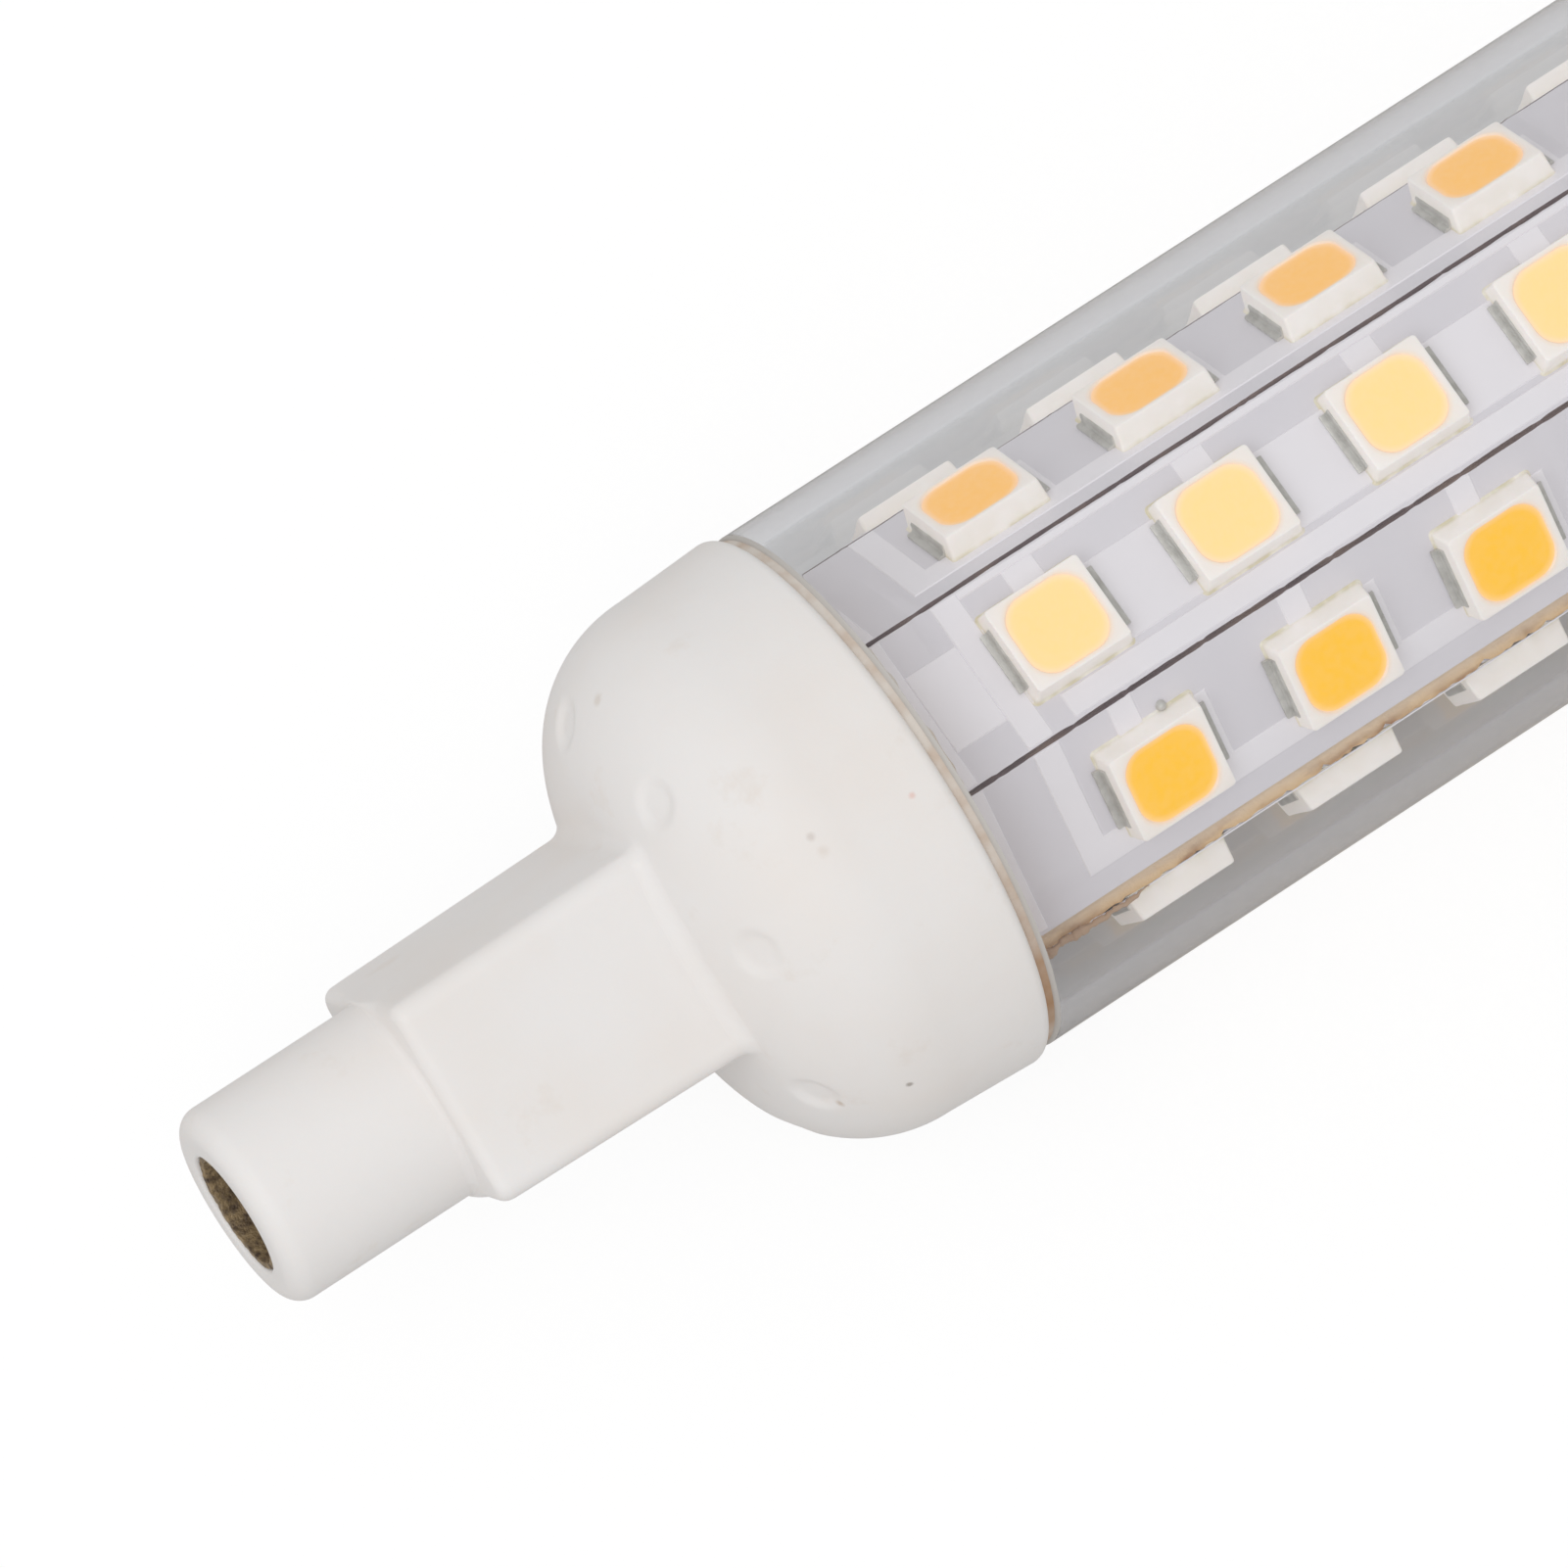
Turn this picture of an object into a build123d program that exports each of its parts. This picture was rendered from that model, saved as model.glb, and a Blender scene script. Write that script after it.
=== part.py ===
from build123d import *
from math import cos, pi, radians, sin, sqrt
import os

os.makedirs("parts", exist_ok=True)

# Double-ended LED lamp. The lamp lies along X, up is +Z, and the origin is the middle of the lamp.
# All lengths are in millimetres and all angles in degrees.
# Angles around the lamp are measured from straight up towards -Y.

# Overall
overall_length = 118.0

# Ceramic end cap
nose_radius = 3.25
nose_length = 6.24
nose_edge = 0.7
block_width = 6.7
block_height = 8.0
block_length = 8.6
block_draft = 1.1
block_edge_chamfer = 0.4
block_ledge_share = 0.8
block_turn = 30.8
shoulder_radius = 4.6
shoulder_bands = 6
skirt_length = 3.26
skirt_flare = 0.15
rim_step = 0.2
rim_edge = 0.35
spigot_length = 4.5
wire_bore_radius = 0.7

# Contact cup in the nose recess
recess_radius = 1.95
recess_depth = 2.3
contact_wall = 0.25
contact_floor = 0.3
contact_fit = 0.02
contact_tail_radius = 0.6
contact_tail_length = 1.6

# Glass sleeve
glass_outer_radius = 8.8
glass_wall = 0.8
glass_edge_chamfer = 0.15

# Cement between the cap, the glass and the board
joint_gap = 0.25
board_end_gap = 0.6
cement_set_back = 0.18
cement_glass_clearance = 0.02

# Folded LED board
strip_count = 8
cage_clearance = 1.232
board_thickness = 0.42
first_strip_angle = 48.7
folds = [40.0, 46.3, 42.0, 46.8, 47.1, 42.8, 36.6]
fold_notch_width = 0.08
fold_notch_depth = 0.1
cage_drop = 0.461
cage_back = 0.248
spigot_clearance = 0.02

# LEDs
led_pitch = 6.05
first_led_even = 5.85
first_led_odd = 6.5
led_length = 3.46
led_width = 2.98
led_height = 0.8
led_wall_draft = 6.0
window_length = 2.76
window_width = 2.48
window_corner = 0.5
window_depth = 0.4
window_recess = 0.05
led_lead_width = 2.0
led_lead_reach = 0.25
led_lead_height = 0.4

# Driver
driver_board_thickness = 1.0
driver_board_drop = 2.0
driver_slot_depth = 3.5
driver_slot_wall = 0.45
driver_slot_clearance = 0.05
driver_end_play = 0.1
wire_width = 0.6
wire_lay = 3.0
bend_run = 1.4
feed_wire_width = 0.5
feed_wire_spread = 3.6
wire_lead_in = 1.0
fuse_length = 6.3
fuse_width = 3.2
fuse_height = 0.8
fuse_cap = 0.7
rectifier_length = 4.7
rectifier_width = 3.9
rectifier_height = 2.3
capacitor_radius = 2.5
capacitor_length = 11.0
capacitor_lead_spread = 2.0
chip_length = 4.9
chip_width = 3.9
chip_height = 1.6
chip_pin_count = 4
chip_pin_pitch = 1.27
chip_pin_width = 0.42
rectifier_pin_count = 2
rectifier_pin_pitch = 2.5
rectifier_pin_width = 0.6
pin_reach = 0.65
stand_off = 0.2
choke_radius = 2.5
choke_waist_radius = 1.2
choke_height = 4.8
choke_flange = 0.8

# Stations along the lamp, left half
nose_end = -overall_length / 2
block_face = nose_end + nose_length
dome_face = block_face + block_length
skirt_start = dome_face + shoulder_radius
rim_face = skirt_start + skirt_length
spigot_end = rim_face + spigot_length
glass_inner_radius = glass_outer_radius - glass_wall
rim_radius = glass_outer_radius + rim_step
skirt_radius = rim_radius - skirt_flare
dome_flat_radius = skirt_radius - shoulder_radius
block_face_chamfer = block_ledge_share * (block_width / 2 - nose_radius)
cement_outer_radius = glass_outer_radius - cement_set_back
board_end = rim_face + board_end_gap
strip_width = 2 * (glass_inner_radius - cage_clearance) * sin(pi / strip_count)
leds_per_strip = int((-2 * rim_face - 2 * first_led_even) / led_pitch + 1.001)
driver_board_end = spigot_end - driver_slot_depth + driver_end_play
driver_top = driver_board_thickness / 2 - driver_board_drop

# The components share the room between the two wires evenly
wire_end = spigot_end + wire_lead_in + bend_run + wire_lay
component_lengths = fuse_length + rectifier_length + capacitor_length + chip_length + 2 * choke_radius
component_gap = (-2 * wire_end - component_lengths - feed_wire_width) / 7


def around(angle):
    """Unit vector across the lamp at an angle from straight up towards -Y, as (y, z)."""
    return Vector(0, -sin(radians(angle)), cos(radians(angle)))


def along_strip(angle):
    """Unit vector across a strip whose outward direction is at the angle."""
    return Vector(0, cos(radians(angle)), sin(radians(angle)))


# The folded strip: angles of the eight outer faces and the corner points between them
strip_angles = [first_strip_angle]
for fold in folds:
    strip_angles.append(strip_angles[-1] - fold)

corners = [Vector(0, 0, 0)]
for angle in strip_angles:
    corners.append(corners[-1] + along_strip(angle) * strip_width)

cage_middle = Vector(0, 0, 0)
for corner in corners[:strip_count]:
    cage_middle += corner * (1 / strip_count)
cage_shift = Vector(0, cage_back, -cage_drop) - cage_middle
corners = [corner + cage_shift for corner in corners]

# The spigot just fills the space under the strip that lies on it
nearest_inner_face = min(
    corners[k].dot(around(strip_angles[k])) - board_thickness for k in range(strip_count)
)
spigot_radius = nearest_inner_face - spigot_clearance
slot_floor = driver_board_drop + driver_board_thickness / 2 + driver_slot_clearance
driver_slot_width = 2 * (sqrt(spigot_radius**2 - slot_floor**2) - driver_slot_wall)
driver_board_width = driver_slot_width - 2 * driver_slot_clearance


def led_board_solid():
    """One sheet folded into an eight-sided cage, with a fine cracked notch along each fold."""
    outer = []
    inner = []
    for k in range(strip_count + 1):
        if k == 0:
            outer.append(corners[0])
            inner.append(corners[0] - around(strip_angles[0]) * board_thickness)
        elif k == strip_count:
            outer.append(corners[k])
            inner.append(corners[k] - around(strip_angles[-1]) * board_thickness)
        else:
            middle = (strip_angles[k - 1] + strip_angles[k]) / 2
            half_fold = (strip_angles[k - 1] - strip_angles[k]) / 2
            outer.append(corners[k] - along_strip(strip_angles[k - 1]) * fold_notch_width)
            outer.append(corners[k] - around(middle) * fold_notch_depth)
            outer.append(corners[k] + along_strip(strip_angles[k]) * fold_notch_width)
            inner.append(corners[k] - around(middle) * (board_thickness / cos(radians(half_fold))))
    section = make_face(Polyline(*(outer + inner[::-1]), close=True))
    sheet = extrude(section, amount=-2 * board_end, dir=(1, 0, 0))
    return Pos(board_end, 0, 0) * sheet


def strip_plane(k):
    """Plane on the outer face of strip k, x along the lamp and z outwards, middle of the strip."""
    middle = (corners[k] + corners[k + 1]) * 0.5
    return Plane(origin=middle, x_dir=(1, 0, 0), z_dir=around(strip_angles[k]))


def window_outline(length, width, corner):
    """Window shape with cut corners."""
    return chamfer(Rectangle(length, width).vertices(), corner)


def led_housing():
    """White moulded housing with sloping walls and a shallow open tray."""
    block = extrude(Rectangle(led_length, led_width), led_height, taper=led_wall_draft)
    tray = Pos(0, 0, led_height) * window_outline(window_length, window_width, window_corner)
    return block - extrude(tray, -window_depth)


def led_window():
    """Phosphor filling of the tray."""
    floor = Pos(0, 0, led_height - window_depth)
    outline = floor * window_outline(window_length, window_width, window_corner)
    return extrude(outline, window_depth - window_recess)


def led_lead(side):
    """Tinned foot at one end of the housing."""
    middle = side * (led_length / 2 + led_lead_reach / 2)
    foot = Box(led_lead_reach, led_lead_width, led_lead_height)
    return Pos(middle, 0, led_lead_height / 2) * foot


def led_positions(k):
    """Places of the LEDs on strip k; neighbouring strips are staggered."""
    first = first_led_odd if k % 2 == 0 else first_led_even
    places = []
    for n in range(leds_per_strip):
        places.append(strip_plane(k).location * Pos(rim_face + first + n * led_pitch, 0, 0))
    return places


def end_cap_solid():
    """Ceramic cap at the left end: nose, block, dome, skirt and the spigot inside the board."""
    # Turned form: dome face, quarter-round shoulder in narrow bands, drafted skirt, softened rim, spigot
    profile = [(dome_face, 0)]
    for n in range(shoulder_bands + 1):
        lean = radians(90 * n / shoulder_bands)
        station = skirt_start - shoulder_radius * cos(lean)
        profile.append((station, dome_flat_radius + shoulder_radius * sin(lean)))
    profile.append((rim_face - rim_edge, rim_radius))
    profile.append((rim_face, rim_radius - rim_edge))
    profile.append((rim_face, spigot_radius))
    profile.append((spigot_end, spigot_radius))
    profile.append((spigot_end, 0))
    cap = revolve(make_face(Polyline(*profile, close=True)), Axis.X)

    # Rectangular block, slightly wider towards the dome, sunk into it to meet the round shoulder
    block_plane = Plane(origin=(block_face, 0, 0), x_dir=along_strip(block_turn), z_dir=(1, 0, 0))
    outline = chamfer(Rectangle(block_width, block_height).vertices(), block_edge_chamfer)
    block = extrude(block_plane * outline, block_length + shoulder_radius / 2, taper=-block_draft)
    block = chamfer(block.faces().sort_by(Axis.X)[0].edges(), block_face_chamfer)
    cap += block

    # Round nose with a rounded end
    nose = make_face(
        Polyline(
            (nose_end, 0),
            (nose_end, nose_radius - nose_edge),
            (nose_end + 0.3 * nose_edge, nose_radius - 0.3 * nose_edge),
            (nose_end + nose_edge, nose_radius),
            (block_face + block_face_chamfer, nose_radius),
            (block_face + block_face_chamfer, 0),
            close=True,
        )
    )
    cap += revolve(nose, Axis.X)

    # Recess for the contact and the wire bore behind it
    nose_plane = Plane(origin=(nose_end, 0, 0), x_dir=(0, 1, 0), z_dir=(1, 0, 0))
    cap -= extrude(nose_plane * Circle(recess_radius), recess_depth)
    cap -= extrude(nose_plane * Circle(wire_bore_radius), spigot_end - nose_end)

    # Slot in the spigot that holds the driver board
    slot_height = driver_board_thickness + 2 * driver_slot_clearance
    slot_middle = spigot_end - driver_slot_depth / 2
    slot = Box(driver_slot_depth, driver_slot_width, slot_height)
    cap -= Pos(slot_middle, 0, -driver_board_drop) * slot
    return cap


def contact_cup_solid():
    """Drawn metal cup seated in the nose recess, with a tail down the wire bore."""
    outer = recess_radius - contact_fit
    section = make_face(
        Polyline(
            (nose_end, outer - contact_wall),
            (nose_end, outer),
            (nose_end + recess_depth, outer),
            (nose_end + recess_depth, contact_tail_radius),
            (nose_end + recess_depth + contact_tail_length, contact_tail_radius),
            (nose_end + recess_depth + contact_tail_length, 0),
            (nose_end + recess_depth - contact_floor, 0),
            (nose_end + recess_depth - contact_floor, outer - contact_wall),
            close=True,
        )
    )
    return revolve(section, Axis.X)


def adhesive_ring_solid():
    """Cement: a thin layer under the end of the glass and a thicker one inside, up to the board."""
    inside = glass_inner_radius - cement_glass_clearance
    section = make_face(
        Polyline(
            (rim_face, spigot_radius),
            (rim_face, cement_outer_radius),
            (rim_face + joint_gap, cement_outer_radius),
            (rim_face + joint_gap, inside),
            (rim_face + board_end_gap, inside),
            (rim_face + board_end_gap, spigot_radius),
            close=True,
        )
    )
    return revolve(section, Axis.X)


def glass_tube_solid():
    """Open glass sleeve with softened ends."""
    start = rim_face + joint_gap
    section = make_face(
        Polyline(
            (start, glass_inner_radius),
            (start, glass_outer_radius - glass_edge_chamfer),
            (start + glass_edge_chamfer, glass_outer_radius),
            (-start - glass_edge_chamfer, glass_outer_radius),
            (-start, glass_outer_radius - glass_edge_chamfer),
            (-start, glass_inner_radius),
            close=True,
        )
    )
    return revolve(section, Axis.X)


def driver_board_solid():
    """Narrow printed board that spans the lamp between the two spigots."""
    board = Box(-2 * driver_board_end, driver_board_width, driver_board_thickness)
    return Pos(0, 0, -driver_board_drop) * board


def chip_solid(length, width, height, pin_count, pin_pitch, pin_width):
    """Moulded chip with pins along both long sides, standing on z = 0."""
    body = Pos(0, 0, stand_off) * extrude(Rectangle(length, width), height - stand_off, taper=5)
    for side in (-1, 1):
        for n in range(pin_count):
            x = (n - (pin_count - 1) / 2) * pin_pitch
            pin = Box(pin_width, 2 * pin_reach, height / 2)
            body += Pos(x, side * width / 2, height / 4) * pin
    return body


def chip():
    """Driver chip with four pins a side."""
    return chip_solid(chip_length, chip_width, chip_height, chip_pin_count, chip_pin_pitch, chip_pin_width)


def rectifier():
    """Bridge rectifier with two pins a side."""
    pins = (rectifier_pin_count, rectifier_pin_pitch, rectifier_pin_width)
    return chip_solid(rectifier_length, rectifier_width, rectifier_height, *pins)


def smoothing_capacitor_solid():
    """Round can lying along the lamp, with two square-cut leads bent down to the board."""
    can = extrude(Plane.YZ * Circle(capacitor_radius), capacitor_length)
    half = wire_width / 2
    drop = capacitor_radius
    lead = make_face(
        Polyline(
            (0, half), (-2 * wire_width, half), (-2 * wire_width, -drop), (-wire_width, -drop),
            (-wire_width, -half), (0, -half), close=True,
        )
    )
    for side in (-1, 1):
        start = side * capacitor_lead_spread / 2 + half
        can += extrude(Plane.XZ.offset(-start) * lead, wire_width)
    return can


def fuse_resistor_solid():
    """Flat chip resistor with a metal cap at each end."""
    body = Pos(0, 0, fuse_height / 2) * Box(fuse_length - 2 * fuse_cap, fuse_width, fuse_height * 0.8)
    for side in (-1, 1):
        end = Box(fuse_cap, fuse_width, fuse_height)
        body += Pos(side * (fuse_length - fuse_cap) / 2, 0, fuse_height / 2) * end
    return body


def eight_sided(radius, height):
    """Upright eight-sided block, the radius measured to its flats."""
    return extrude(RegularPolygon(radius, 8, major_radius=False, rotation=22.5), height)


def choke_core_solid():
    """Ferrite drum with eight-sided flanges, standing on the board."""
    flange = eight_sided(choke_radius, choke_flange)
    waist = eight_sided(choke_waist_radius, choke_height)
    return flange + waist + Pos(0, 0, choke_height - choke_flange) * flange


def choke_winding_solid():
    """Copper winding that fills most of the drum's waist."""
    depth = choke_height - 2 * choke_flange
    coil = eight_sided(0.88 * choke_radius, depth) - eight_sided(choke_waist_radius, depth)
    return Pos(0, 0, choke_flange) * coil


def lead_wire_solid():
    """Flat-sided wire from the contact's tail through the bore, then down to the driver board."""
    start = nose_end + recess_depth + contact_tail_length
    bend = spigot_end + wire_lead_in
    landing = driver_top + wire_width / 2
    path = Polyline(
        (start, 0, 0), (bend, 0, 0), (bend + bend_run, 0, landing), (bend + bend_run + wire_lay, 0, landing)
    )
    section = Plane(origin=(start, 0, 0), z_dir=(1, 0, 0)) * RegularPolygon(wire_width / 2, 6, rotation=30)
    return sweep(section, path, transition=Transition.RIGHT)


def to_right_end(shape):
    """The same piece at the other end of the lamp."""
    return mirror(shape, Plane.YZ)


parts = {}

# Sleeve, caps, contacts and cement
parts["glass_tube"] = glass_tube_solid()
left_end_cap = end_cap_solid()
parts["left_end_cap"] = left_end_cap
parts["right_end_cap"] = to_right_end(left_end_cap)
contact_cup = contact_cup_solid()
parts["left_contact_cup"] = contact_cup
parts["right_contact_cup"] = to_right_end(contact_cup)
adhesive_ring = adhesive_ring_solid()
parts["left_adhesive_ring"] = adhesive_ring
parts["right_adhesive_ring"] = to_right_end(adhesive_ring)

# Folded board and its LEDs
led_board = led_board_solid()
parts["led_board"] = led_board
housing = led_housing()
window = led_window()
feet = [led_lead(-1), led_lead(1)]
for k in range(strip_count):
    places = led_positions(k)
    name = k + 1
    parts[f"led_housings_strip_{name}"] = Compound([place * housing for place in places])
    parts[f"led_windows_strip_{name}"] = Compound([place * window for place in places])
    parts[f"led_leads_strip_{name}"] = Compound([place * foot for place in places for foot in feet])

# Driver, with its components in a row from the left-hand wire
parts["driver_board"] = driver_board_solid()
parts["left_lead_wire"] = lead_wire_solid()
parts["right_lead_wire"] = to_right_end(lead_wire_solid())
x = wire_end + component_gap
parts["fuse_resistor"] = Pos(x + fuse_length / 2, 0, driver_top) * fuse_resistor_solid()
x += fuse_length + component_gap
parts["bridge_rectifier"] = Pos(x + rectifier_length / 2, 0, driver_top) * rectifier()
x += rectifier_length + component_gap
capacitor = smoothing_capacitor_solid()
parts["smoothing_capacitor"] = Pos(x, 0, driver_top + capacitor_radius) * capacitor
x += capacitor_length + component_gap
parts["driver_chip"] = Pos(x + chip_length / 2, 0, driver_top) * chip()
x += chip_length + component_gap
parts["choke_core"] = Pos(x + choke_radius, 0, driver_top) * choke_core_solid()
parts["choke_winding"] = Pos(x + choke_radius, 0, driver_top) * choke_winding_solid()
x += 2 * choke_radius + component_gap + feed_wire_width / 2
feed_wires = []
for side in (-1, 1):
    foot = Plane(origin=(x, side * feed_wire_spread / 2, driver_top)) * Rectangle(
        feed_wire_width, feed_wire_width
    )
    feed_wires.append(extrude(foot, 2 * glass_inner_radius) - led_board)
parts["led_feed_wires"] = Compound([wire.solids().sort_by(Axis.Z)[0] for wire in feed_wires])

for name, shape in parts.items():
    export_step(shape if isinstance(shape, Compound) else Compound([shape]), f"parts/{name}.step")
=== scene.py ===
"""Studio picture of a double-ended LED lamp.

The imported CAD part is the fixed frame. This script dresses it: clear glass, folded board with its
copper tracks, LED packages with rounded windows, cement, contacts and satin ceramic caps.
Lengths in the classes are millimetres; vertices are scaled to metres when a mesh is made.
"""

import logging
import math
from dataclasses import dataclass, field
from enum import Enum
from typing import Callable, Optional, Sequence

import bpy
import numpy as np
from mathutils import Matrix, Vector


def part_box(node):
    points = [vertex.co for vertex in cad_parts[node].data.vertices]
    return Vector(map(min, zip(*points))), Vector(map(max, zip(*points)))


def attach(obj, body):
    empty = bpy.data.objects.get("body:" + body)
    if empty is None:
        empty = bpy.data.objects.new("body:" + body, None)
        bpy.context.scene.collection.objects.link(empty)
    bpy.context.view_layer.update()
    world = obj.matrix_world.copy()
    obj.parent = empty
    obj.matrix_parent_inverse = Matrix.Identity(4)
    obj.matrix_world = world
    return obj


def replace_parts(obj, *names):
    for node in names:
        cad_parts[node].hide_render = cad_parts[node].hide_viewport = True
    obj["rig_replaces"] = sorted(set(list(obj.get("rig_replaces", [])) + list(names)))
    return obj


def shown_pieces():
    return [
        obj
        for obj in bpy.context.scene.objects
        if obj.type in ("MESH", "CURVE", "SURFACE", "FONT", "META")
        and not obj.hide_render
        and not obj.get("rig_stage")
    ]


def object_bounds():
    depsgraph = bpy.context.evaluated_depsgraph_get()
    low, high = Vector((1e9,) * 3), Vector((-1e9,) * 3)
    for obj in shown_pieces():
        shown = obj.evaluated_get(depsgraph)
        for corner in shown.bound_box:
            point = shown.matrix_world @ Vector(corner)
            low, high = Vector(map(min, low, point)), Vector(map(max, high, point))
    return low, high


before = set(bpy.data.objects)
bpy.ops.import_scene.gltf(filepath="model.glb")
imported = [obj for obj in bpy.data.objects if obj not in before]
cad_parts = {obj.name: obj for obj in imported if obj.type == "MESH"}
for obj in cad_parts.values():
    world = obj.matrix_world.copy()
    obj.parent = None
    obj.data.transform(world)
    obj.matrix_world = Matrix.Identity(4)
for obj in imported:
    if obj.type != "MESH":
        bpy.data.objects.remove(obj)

logging.basicConfig(level=logging.INFO, format="%(levelname)s %(message)s")
log = logging.getLogger("lamp")

MM = 0.001
# How far a made piece's box may differ from its CAD node's before it is reported, in millimetres
PLACE_LIMIT = 0.15


# Numbers


class End(Enum):
    """The two ends of the lamp, as the sign of X."""

    LEFT = -1
    RIGHT = 1

    @property
    def word(self) -> str:
        """Name of the end as the nodes have it."""
        return self.name.lower()

    def from_left(self, points: np.ndarray, faces: np.ndarray) -> tuple[np.ndarray, np.ndarray]:
        """Takes a left-hand shape to this end: the right-hand one is its mirror image, facing outwards.

        Args:
            points: (n, 3) points of the left-hand shape.
            faces: (m, 4) vertex numbers.

        Returns:
            Points and faces at this end.
        """
        if self is End.LEFT:
            return points, faces
        return points * np.array([-1, 1, 1]), faces[:, ::-1]


def rgba(code: str) -> tuple[float, float, float, float]:
    """Converts an sRGB hex colour to linear RGBA.

    Each channel c becomes c / 12.92 up to 0.04045, and ((c + 0.055) / 1.055) to the power 2.4 above.

    Args:
        code: Colour such as "#E5E1DB".

    Returns:
        Linear red, green, blue and an alpha of 1.
    """
    parts = [int(code[i : i + 2], 16) / 255 for i in (1, 3, 5)]
    linear = [c / 12.92 if c <= 0.04045 else ((c + 0.055) / 1.055) ** 2.4 for c in parts]
    return (linear[0], linear[1], linear[2], 1.0)


@dataclass(frozen=True)
class LampSizes:
    """Sizes of the lamp, the same as the part's own, in millimetres and degrees."""

    overall_length: float = 118.0
    nose_length: float = 6.24
    block_length: float = 8.6
    shoulder_radius: float = 4.6
    skirt_length: float = 3.26
    nose_radius: float = 3.25
    nose_edge: float = 0.7
    block_width: float = 6.7
    block_height: float = 8.0
    block_draft: float = 1.1
    block_turn: float = 30.8
    skirt_flare: float = 0.15
    rim_step: float = 0.2
    rim_edge: float = 0.35
    spigot_length: float = 4.5
    spigot_radius: float = 5.276
    wire_bore_radius: float = 0.7
    recess_radius: float = 1.95
    recess_depth: float = 2.3
    contact_wall: float = 0.25
    contact_floor: float = 0.3
    contact_fit: float = 0.02
    contact_tail_radius: float = 0.6
    contact_tail_length: float = 1.6
    glass_outer_radius: float = 8.8
    glass_wall: float = 0.8
    glass_edge: float = 0.15
    joint_gap: float = 0.25
    board_end_gap: float = 0.6
    cage_clearance: float = 1.232
    board_thickness: float = 0.42
    first_strip_angle: float = 48.7
    folds: tuple[float, ...] = (40.0, 46.3, 42.0, 46.8, 47.1, 42.8, 36.6)
    cage_drop: float = 0.461
    cage_back: float = 0.248
    led_pitch: float = 6.05
    first_led_even: float = 5.85
    first_led_odd: float = 6.5
    led_length: float = 3.46
    led_width: float = 2.98
    led_height: float = 0.8
    leds_per_strip: int = 11

    @property
    def nose_end(self) -> float:
        """X of the left nose's end."""
        return -self.overall_length / 2

    @property
    def block_face(self) -> float:
        """X of the left block's front face."""
        return self.nose_end + self.nose_length

    @property
    def dome_face(self) -> float:
        """X of the flat middle of the left shoulder."""
        return self.nose_end + self.nose_length + self.block_length

    @property
    def skirt_start(self) -> float:
        """X where the left shoulder's curve ends."""
        return self.dome_face + self.shoulder_radius

    @property
    def rim_face(self) -> float:
        """X of the left cap's rim."""
        cap = self.nose_length + self.block_length + self.shoulder_radius + self.skirt_length
        return -self.overall_length / 2 + cap

    @property
    def rim_radius(self) -> float:
        """Largest radius of a cap."""
        return self.glass_outer_radius + self.rim_step

    @property
    def flat_radius(self) -> float:
        """Radius of the shoulder's flat middle."""
        return self.rim_radius - self.skirt_flare - self.shoulder_radius

    @property
    def glass_inner_radius(self) -> float:
        """Bore radius of the glass."""
        return self.glass_outer_radius - self.glass_wall

    @property
    def strip_count(self) -> int:
        """Number of strips of the folded board."""
        return len(self.folds) + 1

    @property
    def strip_width(self) -> float:
        """Width of one strip between two folds."""
        return 2 * (self.glass_inner_radius - self.cage_clearance) * math.sin(math.pi / self.strip_count)


SIZES = LampSizes()


@dataclass(frozen=True)
class Waver:
    """A value that wanders along a length, about from -1 to 1.

    It is a sum of sines with random phases, each shorter and weaker than the one before.

    Attributes:
        seed: Starts the random phases.
        terms: Number of sines.
        longest: Longest wavelength in millimetres.
        shorter: Each wavelength as a share of the one before.
        weaker: Each height as a share of the one before.
        reach: Brings the sum's usual height to 1.
    """

    seed: int
    terms: int
    longest: float
    shorter: float = 0.62
    weaker: float = 0.8
    reach: float = 1.8

    def at(self, x: np.ndarray, number: int = 0) -> np.ndarray:
        """Values at some places.

        Args:
            x: Positions in millimetres.
            number: Which of several like wavers, from 0.

        Returns:
            One value for each position.
        """
        random = np.random.default_rng(self.seed + number)
        total = np.zeros_like(x, float)
        size = 0.0
        for k in range(self.terms):
            wave = self.longest * self.shorter**k
            height = self.weaker**k
            total += height * np.sin(2 * math.pi * x / wave + random.uniform(0, 2 * math.pi))
            size += height
        return total / size * self.reach


# Meshes


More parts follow.
